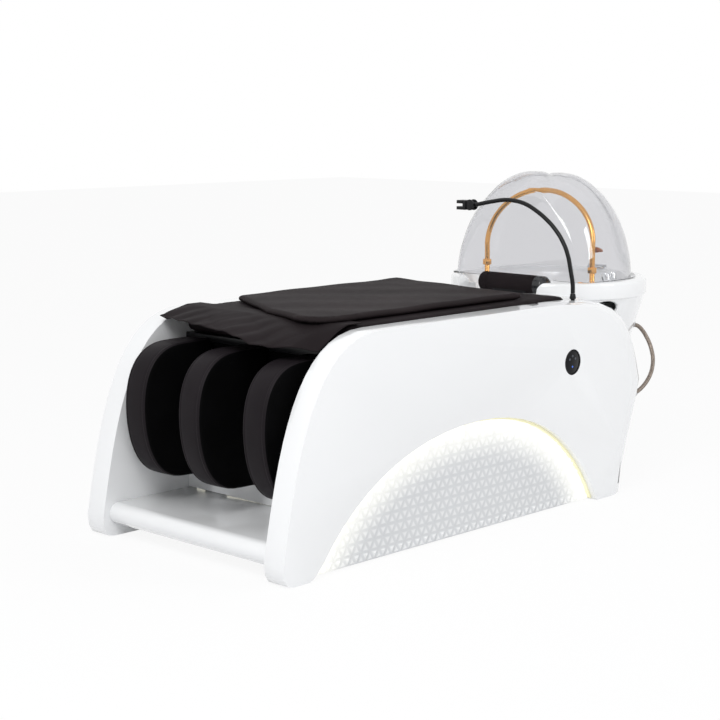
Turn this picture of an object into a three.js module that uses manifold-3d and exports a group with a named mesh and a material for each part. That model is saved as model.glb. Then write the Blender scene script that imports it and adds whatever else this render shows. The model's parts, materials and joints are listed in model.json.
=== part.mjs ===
// Shampoo backwash bed: a moulded bed base, a mattress with calf pads,
// and a basin under a clear steam hood.
// Millimetres, +Z up. +X runs from the foot end to the head end, and -Y is the side with the touch disc.
// Lengths along X are measured from the foot end; the exported group moves the origin to the middle.
import * as THREE from "three";
import { mergeVertices } from "three/addons/utils/BufferGeometryUtils.js";
import Module from "manifold-3d";

const wasm = await Module();
wasm.setup();

// ---------------------------------------------------------------- driving dimensions
const SEAT_GAP = 0.3; // between pieces that touch
const BODY_WIDTH = 700;
const BODY_TOP = 543; // upper edge of the side shells
const SHELL_THICKNESS = 63; // a side shell, outer face to inner face
const SKIN = 8; // moulded wall of a side shell
const REAR_WALL = 30;
const REAR_RADIUS = 105; // rounded rear corner, seen from above
const REAR_WRAP = 150; // distance from the middle at which the rear corner ends
const FRONT_TOP_X = 310; // where the curved front edge meets the level top
const REAR_TOP_X = 1008; // where the level top starts to fall to the rear
const REAR_MAX_X = 1414; // furthest point of the rear bulge
const REAR_MAX_Z = 304;
const REAR_FLOOR_X = 1326;

const ARCH_START = 100; // recessed arch in each side
const ARCH_TOP_X = 672;
const ARCH_TOP_Z = 285;
const ARCH_END = 1158;
const ARCH_RECESS = 25;
const ARCH_PANEL = 8;
const ARCH_LIP = 10;
const CORNER = 22; // rounding of a side shell's feet
const LED_WIDTH = 6;
const LED_DEPTH = 9;

const FOOT_BOARD_FRONT = 17;
const FOOT_BOARD_TOP = 84;
const FOOT_BOARD_THICKNESS = 54;
const BULKHEAD_X = 271;
const BULKHEAD_THICKNESS = 12;

const DECK_THICKNESS = 17;
const MATTRESS_FRONT = 262;
const MATTRESS_REAR = 1098;
const MATTRESS_TOP = 549;
const MATTRESS_THICKNESS = 66;
const FLAP_THICKNESS = 3;
const FLAP_HEM_X = 168;
const FLAP_HEM_Z = 506;
const FLAP_SKEW = 36; // the hem is further out and higher on the left
const FLAP_LIFT = 36;
const MAT_THICKNESS = 14;
const MAT_HALF_WIDTH = 251;

const PAD_FRONT = 40; // calf pads
const PAD_REAR = 262;
const PAD_TOP = 479;
const PAD_BOTTOM = 145;
const PAD_THICKNESS = 80;
const PAD_SPACING = 210;
const MIDDLE_PAD_Y = 12; // the middle pad sits a little to the left
const PAD_BULGE_Z = 325; // height of the pad's furthest point forward

const FRAME_TUBE = 40;
const FRAME_Y = 235; // middle of each frame side
const FRAME_FRONT = 300;
const FRAME_REAR = 1090;
const GLIDE_HEIGHT = 12;
const SHELF_Z = 60;
const SHELF_THICKNESS = 12;
const SHELF_LENGTH = 420;
const PUMP = { x: 330, y: -150, length: 170, width: 130, height: 95 };
const HEATER = { x: 540, y: 20, length: 160, width: 150, height: 170 };

const BASIN_X = 1383; // middle of the basin, the hood and the drain
const BASIN_Y_RADIUS = 287; // half the basin's width at its rim
const BASIN_SQUEEZE = 0.909; // its length as a share of its width
const RIM_TOP = 567;
const RIM_BAND = 48; // height of the rim's outer band
const LEDGE_Z = 521; // shelf inside the rim that carries the taps and the ring
const LEDGE_INNER = 168;
const BOWL_FLOOR = 372;
const BOWL_WALL = 7;
const DRAIN_RADIUS = 24;
const PEDESTAL_TOP_RADIUS = 283;
const PEDESTAL_TOP_Z = RIM_TOP - RIM_BAND - SEAT_GAP; // the rim's band rests on it
const PEDESTAL_FLARE = 1.427; // above 1 it widens faster towards the rim
const PEDESTAL_FLOOR_RADIUS = 166;
const PEDESTAL_WALL = 6;
const APRON_LENGTH = 59;
const APRON_THICKNESS = 12;
const NECK_HALF_WIDTH = 138; // cut-out in the front of the rim
const NOTCH_HALF_WIDTH = 154; // the cut-out with its side walls
const NOTCH_UNDERSIDE = 515; // underside of the cut-out's floor
const NOTCH_REAR = BASIN_X - 150; // the cut-out runs back as far as this
const HATCH_X = 1301; // oval hand hole in the pedestal
const HATCH_Z = 495;
const HATCH_HALF_LENGTH = 43;
const HATCH_HALF_HEIGHT = 22;

const ROLL_X = 1230; // neck roll
const ROLL_Z = 551;
const ROLL_RADIUS = 28;
const ROLL_LENGTH = 225;

const RING_X = 1339; // arched water pipe
const RING_HALF_WIDTH = 187;
const RING_LEAN = 22; // how far its top stands behind its feet
const RING_BASE_Z = 601;
const RING_SPRING_Z = 655; // the legs are straight below this height
const RING_TOP_Z = 808;
const RING_TUBE = 7.3;
const COLLAR_RADIUS = 13.5;
const COLLAR_HEIGHT = 16;
const VALVE_Z = 649;
const VALVE_CLEARANCE = 0.4; // between the handle's stem and the pipe
const VALVE_WING = 20;

const TAP_SPACING = 43;
const TAP_RADIUS = 14;
const TAP_HEIGHT = 31;
const TAP_ANGLE = 14; // degrees, the tap block follows the rim's curve

const HOOD_Y_RADIUS = 243;
const HOOD_HEIGHT = 298; // crest of the lobes above the rim
const HOOD_WALL = 3;
const HOOD_FLANGE = 0.055; // foot flange, as a share of the radius
const HOOD_FRONT_X = 1238; // plane of the flat front wall
const HOOD_DIMPLE = 0.052; // how far the crown dips between the lobes
const HOOD_VALLEY = 0.045; // how deep the grooves between the lobes are
const OPENING_HALF_WIDTH = 170; // arched opening for the neck
const OPENING_TOP_Z = 822;

const HINGE_X = 1628;
const HINGE_Z = 575.5;
const LEAF_REACH = 21; // how far the leaf reaches over the hood's flange
const HINGE_PIN = 2.5;
const HINGE_BARREL = 4.2;
const HINGE_HALF_LENGTH = 30;

const ARM_X = 1098; // gooseneck arm
const ARM_Y = 49 - BODY_WIDTH / 2; // on the right shell's upper edge
const ARM_TUBE = 5.8;
const ARM_REACH = 333; // from the socket to the clip
// The arm's bends from its socket to the clip: distance across the bed, and height.
const ARM_BENDS = [
  [1, 582],
  [8, 615],
  [19, 658],
  [35, 690],
  [60, 721],
  [92, 748],
  [128, 770],
  [162, 785],
  [197, 792],
  [233, 793],
  [276, 787],
  [ARM_REACH, 776],
];
const SOCKET_RADIUS = 8.5;
const SOCKET_HEIGHT = 14;
const CLIP_Z = 774;
const JAW_LENGTH = 25;

const DISC_X = 1038; // touch disc in the right side shell
const DISC_Z = 387;
const DISC_RADIUS = 33.5;
const DISC_RIM = 4;

const HOSE_RADIUS = 5.8;
// Braided hose from the pedestal to the rear corner, points chosen along its free loop.
const HOSE_POINTS = [
  [1523, -207, 425],
  [1529, -214, 422],
  [1537, -224, 410],
  [1541, -235, 393],
  [1541, -247, 374],
  [1537, -258, 354],
  [1529, -268, 334],
  [1516, -276, 314],
  [1499, -282, 296],
  [1479, -285, 279],
  [1457, -286, 265],
  [1437, -285, 255],
  [1421, -284, 250],
];

const HALF_WIDTH = BODY_WIDTH / 2;
const INNER_Y = HALF_WIDTH - SHELL_THICKNESS;
const MATTRESS_BOTTOM = MATTRESS_TOP - MATTRESS_THICKNESS;
const DECK_TOP = MATTRESS_BOTTOM - SEAT_GAP;
const DECK_BOTTOM = DECK_TOP - DECK_THICKNESS;
const BASIN_X_RADIUS = BASIN_Y_RADIUS * BASIN_SQUEEZE;
const OVERALL_LENGTH = BASIN_X + BASIN_X_RADIUS;

// ---------------------------------------------------------------- finishes
function finish(color, roughness, metalness = 0, extra = {}) {
  return new THREE.MeshStandardMaterial({ color, roughness, metalness, ...extra });
}

const WHITE_GELCOAT = finish(0xf2f4f6, 0.18);
const RAW_BOARD = finish(0xc8a878, 0.8);
const BLACK_FABRIC = finish(0x241f20, 0.75);
const FRAME_PAINT = finish(0x3a3c40, 0.55, 0.2);
const BLACK_PLASTIC = finish(0x101114, 0.35);
const RUBBER = finish(0x1a1a1a, 0.9);
const GOLD = finish(0xd99a3c, 0.22, 1);
const COPPER = finish(0xa8623a, 0.3, 1);
const CHROME = finish(0xdadde0, 0.12, 1);
const STEEL = finish(0xb8bbc0, 0.35, 1);
const CLEAR_ACRYLIC = finish(0xd4d6da, 0.05, 0, { transparent: true, opacity: 0.35 });
const LED_LIGHT = finish(0xfff2b8, 0.4, 0, { emissive: 0xffe680 });
const BRAID = finish(0x8c7f74, 0.5, 0.3);
const GREY_CASE = finish(0x9a9da2, 0.5);

// ---------------------------------------------------------------- geometry helpers
const v2 = (x, y) => new THREE.Vector2(x, y);
const v3 = (x, y, z) => new THREE.Vector3(x, y, z);

// A three.js geometry as a solid that can be joined and cut.
function solid(geometry) {
  const bare = geometry.clone();
  bare.deleteAttribute("normal");
  bare.deleteAttribute("uv");
  const merged = mergeVertices(bare, 1e-3);
  return new wasm.Manifold(
    new wasm.Mesh({
      numProp: 3,
      vertProperties: new Float32Array(merged.attributes.position.array),
      triVerts: new Uint32Array(merged.index.array),
    }),
  );
}

// A joined or cut solid as a geometry again, with flat faces.
function geometryOf(manifold) {
  const mesh = manifold.getMesh();
  const count = mesh.numProp;
  const corners = new Float32Array(mesh.numVert * 3);
  for (let i = 0; i < mesh.numVert; i++) {
    corners.set(mesh.vertProperties.subarray(i * count, i * count + 3), i * 3);
  }
  const indexed = new THREE.BufferGeometry();
  indexed.setAttribute("position", new THREE.BufferAttribute(corners, 3));
  indexed.setIndex(new THREE.BufferAttribute(mesh.triVerts, 1));
  const flat = indexed.toNonIndexed();
  flat.computeVertexNormals();
  return flat;
}

// The same solid on the other side of the bed, with its faces turned out again.
function mirrored(geometry) {
  const flipped = (geometry.index ? geometry.toNonIndexed() : geometry.clone()).scale(1, -1, 1);
  const position = flipped.attributes.position;
  for (let i = 0; i < position.count; i += 3) {
    const second = v3().fromBufferAttribute(position, i + 1);
    const third = v3().fromBufferAttribute(position, i + 2);
    position.setXYZ(i + 1, third.x, third.y, third.z);
    position.setXYZ(i + 2, second.x, second.y, second.z);
  }
  flipped.computeVertexNormals();
  return flipped;
}

function shapeOf(points) {
  return new THREE.Shape(points);
}

function extruded(shape, depth, curveSegments = 12) {
  return new THREE.ExtrudeGeometry(shape, { depth, bevelEnabled: false, curveSegments });
}

// An outline drawn in X and Z, given a width along Y.
function acrossY(shape, yLow, yHigh, curveSegments) {
  return extruded(shape, yHigh - yLow, curveSegments)
    .rotateX(Math.PI / 2)
    .translate(0, yHigh, 0);
}

// An outline drawn in Y and Z, given a length along X.
function alongX(shape, xLow, xHigh, curveSegments) {
  const turn = new THREE.Matrix4().makeBasis(v3(0, 1, 0), v3(0, 0, 1), v3(1, 0, 0));
  return extruded(shape, xHigh - xLow, curveSegments)
    .applyMatrix4(turn)
    .translate(xLow, 0, 0);
}

// An outline drawn in X and Y, given a height.
function upZ(shape, zLow, zHigh, curveSegments) {
  return extruded(shape, zHigh - zLow, curveSegments).translate(0, 0, zLow);
}

function box(xLow, xHigh, yLow, yHigh, zLow, zHigh) {
  return new THREE.BoxGeometry(xHigh - xLow, yHigh - yLow, zHigh - zLow).translate(
    (xLow + xHigh) / 2,
    (yLow + yHigh) / 2,
    (zLow + zHigh) / 2,
  );
}

// A straight round bar between two points.
function bar(radius, from, to, sides = 20) {
  const axis = to.clone().sub(from);
  const turn = new THREE.Quaternion().setFromUnitVectors(v3(0, 1, 0), axis.clone().normalize());
  return new THREE.CylinderGeometry(radius, radius, axis.length(), sides)
    .applyQuaternion(turn)
    .translate(...from.clone().add(to).multiplyScalar(0.5).toArray());
}

// A bent tube of solid section along a curve.
function tube(curve, radius, steps, sides = 10) {
  const section = Array.from({ length: sides }, (_, i) => {
    const turn = (i / sides) * 2 * Math.PI;
    return v2(radius * Math.cos(turn), radius * Math.sin(turn));
  });
  return new THREE.ExtrudeGeometry(shapeOf(section), {
    steps,
    extrudePath: curve,
    bevelEnabled: false,
  });
}

function smoothCurve(points) {
  return new THREE.CatmullRomCurve3(points.map((p) => v3(...p)));
}

// A ring of points turned about the upright axis through (x, y).
function turned(profile, x, y, segments = 24) {
  const upward = THREE.ShapeUtils.area(profile) > 0 ? profile : [...profile].reverse();
  return new THREE.LatheGeometry(upward, segments)
    .rotateX(Math.PI / 2)
    .translate(x, y, 0);
}

// A profile of radius and height turned about the basin's axis and squeezed to its oval.
function basinTurned(profile, segments = 48) {
  return turned(profile, 0, 0, segments).scale(BASIN_SQUEEZE, 1, 1).translate(BASIN_X, 0, 0);
}

function roundedBox(xLow, xHigh, yLow, yHigh, zLow, zHigh, radius) {
  const shape = new THREE.Shape();
  shape.moveTo(xLow + radius, yLow);
  shape.lineTo(xHigh - radius, yLow);
  shape.absarc(xHigh - radius, yLow + radius, radius, -Math.PI / 2, 0);
  shape.lineTo(xHigh, yHigh - radius);
  shape.absarc(xHigh - radius, yHigh - radius, radius, 0, Math.PI / 2);
  shape.lineTo(xLow + radius, yHigh);
  shape.absarc(xLow + radius, yHigh - radius, radius, Math.PI / 2, Math.PI);
  shape.lineTo(xLow, yLow + radius);
  shape.absarc(xLow + radius, yLow + radius, radius, Math.PI, 1.5 * Math.PI);
  return upZ(shape, zLow, zHigh, 4);
}

// A closed outline moved outwards by a distance, or inwards by a negative one.
function offsetOutline(points, distance) {
  const area = THREE.ShapeUtils.area(points);
  const outward = area > 0 ? 1 : -1;
  return points.map((point, i) => {
    const before = points[(i + points.length - 1) % points.length];
    const after = points[(i + 1) % points.length];
    const a = point.clone().sub(before).normalize();
    const b = after.clone().sub(point).normalize();
    const normal = v2(a.y + b.y, -a.x - b.x).multiplyScalar(outward).normalize();
    const lean = Math.max(0.4, normal.dot(v2(a.y, -a.x).multiplyScalar(outward)));
    return point.clone().addScaledVector(normal, distance / lean);
  });
}

// ---------------------------------------------------------------- side shells
const FRONT_EDGE = new THREE.CubicBezierCurve(
  v2(0, 50),
  v2(45, 290),
  v2(95, BODY_TOP),
  v2(FRONT_TOP_X, BODY_TOP),
);
const REAR_LOWER = new THREE.CubicBezierCurve(
  v2(REAR_FLOOR_X, 0),
  v2(REAR_FLOOR_X + 9, 110),
  v2(REAR_MAX_X - 2, REAR_MAX_Z - 42),
  v2(REAR_MAX_X, REAR_MAX_Z),
);
const REAR_UPPER = new THREE.CubicBezierCurve(
  v2(REAR_MAX_X, REAR_MAX_Z),
  v2(REAR_MAX_X - 49, REAR_MAX_Z + 171),
  v2(REAR_MAX_X - 84, BODY_TOP),
  v2(REAR_TOP_X, BODY_TOP),
);

// The rear outline from the floor up, each point a layer of the rounded rear corner.
function rearOutline() {
  const lower = REAR_LOWER.getPoints(5);
  const upper = REAR_UPPER.getPoints(10).slice(1);
  return [...lower, ...upper];
}

function flatPanel() {
  const front = FRONT_EDGE.getPoints(16);
  const rear = rearOutline().map((p) => v2(Math.max(p.x - REAR_RADIUS + 1, FRONT_TOP_X + 1), p.y));
  const toe = [v2(1.5 * CORNER, 0), v2(0.6 * CORNER, 0.2 * CORNER), v2(0.12 * CORNER, CORNER)];
  const outline = [...toe, ...front, ...rear.reverse()];
  return acrossY(shapeOf(outline), -HALF_WIDTH, -INNER_Y);
}

// The rear corner: a bent wall whose layers follow the rear outline.
function rearCorner() {
  const arc = (radius) =>
    new THREE.EllipseCurve(
      -REAR_RADIUS,
      REAR_RADIUS - HALF_WIDTH,
      radius,
      radius,
      -Math.PI / 2,
      0,
    ).getPoints(6);
  const start = -REAR_RADIUS - 10;
  const plan = [
    v2(start, -HALF_WIDTH),
    ...arc(REAR_RADIUS),
    v2(0, -REAR_WRAP),
    v2(-REAR_WALL, -REAR_WRAP),
    ...arc(REAR_RADIUS - REAR_WALL).reverse(),
    v2(start, -HALF_WIDTH + REAR_WALL),
  ];
  const layers = rearOutline();
  const geometry = new THREE.ExtrudeGeometry(shapeOf(plan), {
    depth: layers.length - 1,
    steps: layers.length - 1,
    bevelEnabled: false,
  });
  const position = geometry.attributes.position;
  for (let i = 0; i < position.count; i++) {
    const layer = layers[Math.round(position.getZ(i))];
    position.setXYZ(i, position.getX(i) + layer.x, position.getY(i), layer.y);
  }
  return geometry;
}

function archOutline(growth = 0, floor = 0) {
  const rise = new THREE.CubicBezierCurve(
    v2(ARCH_START, 0),
    v2(ARCH_START + 92, 150),
    v2(ARCH_START + 282, ARCH_TOP_Z),
    v2(ARCH_TOP_X, ARCH_TOP_Z),
  ).getPoints(12);
  const fall = new THREE.CubicBezierCurve(
    v2(ARCH_TOP_X, ARCH_TOP_Z),
    v2(ARCH_TOP_X + 226, ARCH_TOP_Z),
    v2(ARCH_END - 94, 180),
    v2(ARCH_END, 0),
  ).getPoints(12);
  const outline = [...rise, ...fall.slice(1)];
  if (growth === 0) {
    outline[0].y = floor;
    outline[outline.length - 1].y = floor;
    return outline;
  }
  const grown = offsetOutline(outline, growth);
  grown[0].set(ARCH_START - growth, floor);
  grown[grown.length - 1].set(ARCH_END + growth, floor);
  return grown;
}

// The arch as it is cut from the shell, with a rounded foot where it starts.
function archCut() {
  const outline = archOutline(0, -1);
  outline[0].set(ARCH_START + 0.2 * CORNER, 0.7 * CORNER);
  return [v2(ARCH_START - CORNER, -1), v2(ARCH_START - 0.35 * CORNER, 0.25 * CORNER), ...outline];
}

// Space behind the skin: open to the inside of the bed, and closed round the visible foot end.
function shellPockets() {
  const innerOpen = box(
    FRAME_FRONT,
    REAR_TOP_X + 270,
    -HALF_WIDTH + SKIN,
    -INNER_Y + 1,
    25,
    DECK_BOTTOM - 15,
  );
  const top = DECK_BOTTOM - 15;
  const front = FRONT_EDGE.getPoints(24)
    .map((p) => v2(p.x + 2 * SKIN + 4, p.y))
    .filter((p) => p.y < top - 10);
  const rear = FRAME_FRONT + 5;
  const kept = [v2(rear, 25), v2(24, 25), ...front, v2(front[front.length - 1].x + 14, top), v2(rear, top)];
  const frontHollow = acrossY(shapeOf(kept), -HALF_WIDTH + SKIN, -INNER_Y - SKIN);
  return solid(innerOpen).add(solid(frontHollow));
}

// Everything the rear wall has to leave room for: the basin, its pedestal and the mattress.
function rearClearance(basinOuter) {
  const inside = box(0, MATTRESS_REAR + APRON_LENGTH + 1, -INNER_Y, 0, -10, BODY_TOP + 50);
  return solid(inside).add(basinOuter);
}

function sideShell(basinOuter) {
  let shell = solid(flatPanel()).add(solid(rearCorner()));
  shell = shell.subtract(rearClearance(basinOuter));
  shell = shell.subtract(shellPockets());
  const lipRing = solid(acrossY(shapeOf(archOutline(ARCH_LIP)), -HALF_WIDTH, -HALF_WIDTH + ARCH_RECESS));
  shell = shell.add(lipRing);
  const seatRear = -HALF_WIDTH + ARCH_RECESS + ARCH_PANEL + 2 * SEAT_GAP;
  const archHole = acrossY(shapeOf(archCut()), -HALF_WIDTH - 1, seatRear);
  const panelSeat = acrossY(shapeOf(archOutline(ARCH_LIP - 1, 2)), -HALF_WIDTH + ARCH_RECESS, seatRear);
  return shell.subtract(solid(archHole)).subtract(solid(panelSeat));
}

function archPanel() {
  const near = -HALF_WIDTH + ARCH_RECESS + SEAT_GAP;
  return acrossY(shapeOf(archOutline(ARCH_LIP - 2, 3)), near, near + ARCH_PANEL);
}

// The light strip follows the edge of the arch, just in front of the patterned panel.
function ledStrip() {
  const rear = -HALF_WIDTH + ARCH_RECESS - SEAT_GAP;
  const outer = archOutline(-SEAT_GAP, 4);
  const inner = archOutline(-LED_WIDTH, 4);
  const footSetback = 4.5;
  outer[0].x = ARCH_START + footSetback;
  outer[outer.length - 1].x = ARCH_END - footSetback;
  inner[0].x = ARCH_START + footSetback + LED_WIDTH;
  inner[inner.length - 1].x = ARCH_END - footSetback - LED_WIDTH;
  return acrossY(shapeOf([...outer, ...inner.reverse()]), rear - LED_DEPTH, rear);
}

// ---------------------------------------------------------------- foot end, deck and frame
function footBoard() {
  const low = FOOT_BOARD_TOP - FOOT_BOARD_THICKNESS;
  const nose = FOOT_BOARD_THICKNESS / 2;
  const shape = new THREE.Shape();
  shape.moveTo(FOOT_BOARD_FRONT + nose, low);
  shape.lineTo(BULKHEAD_X + BULKHEAD_THICKNESS, low);
  shape.lineTo(BULKHEAD_X + BULKHEAD_THICKNESS, FOOT_BOARD_TOP);
  shape.lineTo(FOOT_BOARD_FRONT + nose, FOOT_BOARD_TOP);
  shape.absarc(FOOT_BOARD_FRONT + nose, low + nose, nose, Math.PI / 2, 1.5 * Math.PI);
  return acrossY(shape, -INNER_Y + SEAT_GAP, INNER_Y - SEAT_GAP, 10);
}

function bulkhead() {
  return box(
    BULKHEAD_X,
    BULKHEAD_X + BULKHEAD_THICKNESS,
    -INNER_Y + SEAT_GAP,
    INNER_Y - SEAT_GAP,
    FOOT_BOARD_TOP + SEAT_GAP,
    DECK_BOTTOM - SEAT_GAP,
  );
}

function deckBoard() {
  return box(BULKHEAD_X, MATTRESS_REAR, -INNER_Y + SEAT_GAP, INNER_Y - SEAT_GAP, DECK_BOTTOM, DECK_TOP);
}

// One side of the steel frame: a rail with a leg welded under each end.
function frameSide() {
  const half = FRAME_TUBE / 2;
  const top = DECK_BOTTOM - SEAT_GAP;
  const low = -FRAME_Y - half;
  const high = -FRAME_Y + half;
  const rail = solid(box(FRAME_FRONT, FRAME_REAR, low, high, top - FRAME_TUBE, top));
  const legs = [FRAME_FRONT, FRAME_REAR - FRAME_TUBE].map((x) =>
    solid(box(x, x + FRAME_TUBE, low, high, GLIDE_HEIGHT + SEAT_GAP, top - 1)),
  );
  return rail.add(legs[0]).add(legs[1]);
}

function crossMember(x) {
  const reach = FRAME_Y - FRAME_TUBE / 2 - SEAT_GAP;
  const top = DECK_BOTTOM - SEAT_GAP;
  return box(x, x + FRAME_TUBE, -reach, reach, top - FRAME_TUBE, top);
}

function glideFoot() {
  return new THREE.CylinderGeometry(18, 22, GLIDE_HEIGHT, 16)
    .rotateX(Math.PI / 2)
    .translate(0, 0, GLIDE_HEIGHT / 2);
}

function equipmentShelf() {
  const reach = FRAME_Y - FRAME_TUBE / 2 - SEAT_GAP;
  return box(FRAME_FRONT, FRAME_FRONT + SHELF_LENGTH, -reach, reach, SHELF_Z, SHELF_Z + SHELF_THICKNESS);
}

// A closed case that stands on the shelf.
function machineCase({ x, y, length, width, height }) {
  const low = SHELF_Z + SHELF_THICKNESS + SEAT_GAP;
  return box(x, x + length, y, y + width, low, low + height);
}

// ---------------------------------------------------------------- upholstery
function mattress() {
  const nose = 26;
  const shape = new THREE.Shape();
  shape.moveTo(MATTRESS_FRONT + nose, MATTRESS_BOTTOM);
  shape.lineTo(MATTRESS_REAR, MATTRESS_BOTTOM);
  shape.lineTo(MATTRESS_REAR, MATTRESS_TOP);
  shape.lineTo(MATTRESS_FRONT + nose, MATTRESS_TOP);
  shape.absarc(MATTRESS_FRONT + nose, MATTRESS_TOP - nose, nose, Math.PI / 2, Math.PI);
  shape.absarc(MATTRESS_FRONT + nose, MATTRESS_BOTTOM + nose, nose, Math.PI, 1.5 * Math.PI);
  return acrossY(shape, -INNER_Y + 1.5, INNER_Y - 1.5, 5);
}

// The loose end of the cover: it lies on the mattress and hangs forward over its front edge.
function coverFlap() {
  const z = MATTRESS_TOP + SEAT_GAP;
  const upper = [
    v2(MATTRESS_FRONT + 50, z + FLAP_THICKNESS),
    v2(MATTRESS_FRONT + 8, z + FLAP_THICKNESS),
    v2(MATTRESS_FRONT - 24, z - 6),
    v2(MATTRESS_FRONT - 62, z - 22),
    v2(FLAP_HEM_X, FLAP_HEM_Z),
  ];
  const lower = [
    v2(FLAP_HEM_X + FLAP_THICKNESS, FLAP_HEM_Z - FLAP_THICKNESS),
    v2(MATTRESS_FRONT - 60, z - 22 - FLAP_THICKNESS),
    v2(MATTRESS_FRONT - 22, z - 6 - FLAP_THICKNESS),
    v2(MATTRESS_FRONT + 8, z),
    v2(MATTRESS_FRONT + 50, z),
  ];
  const reach = INNER_Y - 2;
  const geometry = acrossY(shapeOf([...upper, ...lower]), -reach, reach);
  const position = geometry.attributes.position;
  for (let i = 0; i < position.count; i++) {
    const out = Math.max(0, (MATTRESS_FRONT - position.getX(i)) / (MATTRESS_FRONT - FLAP_HEM_X));
    if (position.getY(i) < 0) continue;
    position.setX(i, position.getX(i) - FLAP_SKEW * out);
    position.setZ(i, position.getZ(i) + FLAP_LIFT * out);
  }
  return geometry;
}

// The thin mat on top lies a little askew, with one rounded front corner.
function topMat() {
  const low = MATTRESS_TOP + FLAP_THICKNESS + 2 * SEAT_GAP;
  const shape = new THREE.Shape();
  shape.moveTo(MATTRESS_REAR - 145, -MAT_HALF_WIDTH);
  shape.lineTo(MATTRESS_REAR - 83, MAT_HALF_WIDTH);
  shape.lineTo(MATTRESS_FRONT + 148, MAT_HALF_WIDTH);
  shape.lineTo(MATTRESS_FRONT + 9, -7);
  shape.lineTo(MATTRESS_FRONT - 46, -165);
  shape.quadraticCurveTo(MATTRESS_FRONT - 62, -MAT_HALF_WIDTH, MATTRESS_FRONT + 40, -MAT_HALF_WIDTH);
  return upZ(shape, low, low + MAT_THICKNESS, 6);
}

// Side outline of a calf pad: a tall D with its round edge to the foot end.
function calfPad(y) {
  const shape = new THREE.Shape();
  shape.moveTo(PAD_REAR, PAD_BOTTOM);
  shape.lineTo(PAD_REAR, PAD_TOP);
  shape.lineTo(PAD_FRONT + 125, PAD_TOP);
  shape.bezierCurveTo(PAD_FRONT + 45, PAD_TOP, PAD_FRONT, PAD_TOP - 55, PAD_FRONT, PAD_BULGE_Z);
  shape.bezierCurveTo(
    PAD_FRONT + 2,
    PAD_BULGE_Z - 100,
    PAD_FRONT + 38,
    PAD_BOTTOM,
    PAD_FRONT + 125,
    PAD_BOTTOM,
  );
  return acrossY(shape, y - PAD_THICKNESS / 2, y + PAD_THICKNESS / 2, 8);
}

function calfBracket(y) {
  const low = PAD_REAR + SEAT_GAP;
  const high = BULKHEAD_X - SEAT_GAP;
  return box(low, high, y - 22, y + 22, PAD_BULGE_Z - 80, PAD_BULGE_Z + 80);
}

// ---------------------------------------------------------------- basin
const pedestalRadius = (z) => {
  const rise = z / (RIM_TOP - RIM_BAND);
  return PEDESTAL_FLOOR_RADIUS + (PEDESTAL_TOP_RADIUS - PEDESTAL_FLOOR_RADIUS) * rise ** PEDESTAL_FLARE;
};

function pedestalProfile(growth) {
  return [0, 130, 260, 390, PEDESTAL_TOP_Z].map((z) =>
    v2(pedestalRadius(z) + growth, z),
  );
}

function pedestal() {
  const outside = pedestalProfile(0);
  const inside = pedestalProfile(-PEDESTAL_WALL).reverse();
  const wall = solid(basinTurned([...outside, ...inside, outside[0]], 36));
  const hatch = new THREE.Shape();
  hatch.absellipse(HATCH_X, HATCH_Z, HATCH_HALF_LENGTH, HATCH_HALF_HEIGHT, 0, 2 * Math.PI);
  const reach = NOTCH_HALF_WIDTH + 1;
  const notch = box(0, NOTCH_REAR, -reach, reach, NOTCH_UNDERSIDE - SEAT_GAP, RIM_TOP);
  const hole = acrossY(hatch, -BASIN_Y_RADIUS, -BASIN_Y_RADIUS / 2, 7);
  return wall.subtract(solid(hole)).subtract(solid(notch));
}

// The room that the bed base leaves for the pedestal and the rim.
function basinClearance() {
  const growth = 1;
  const top = RIM_TOP - RIM_BAND - growth;
  const profile = pedestalProfile(growth).filter((p) => p.y < top);
  const closed = [
    v2(0, -20),
    v2(profile[0].x, -20),
    ...profile,
    v2(pedestalRadius(top) + growth, top),
    v2(BASIN_Y_RADIUS + growth, top),
    v2(BASIN_Y_RADIUS + growth, RIM_TOP + 40),
    v2(0, RIM_TOP + 40),
  ];
  return solid(basinTurned(closed, 36));
}

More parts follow.
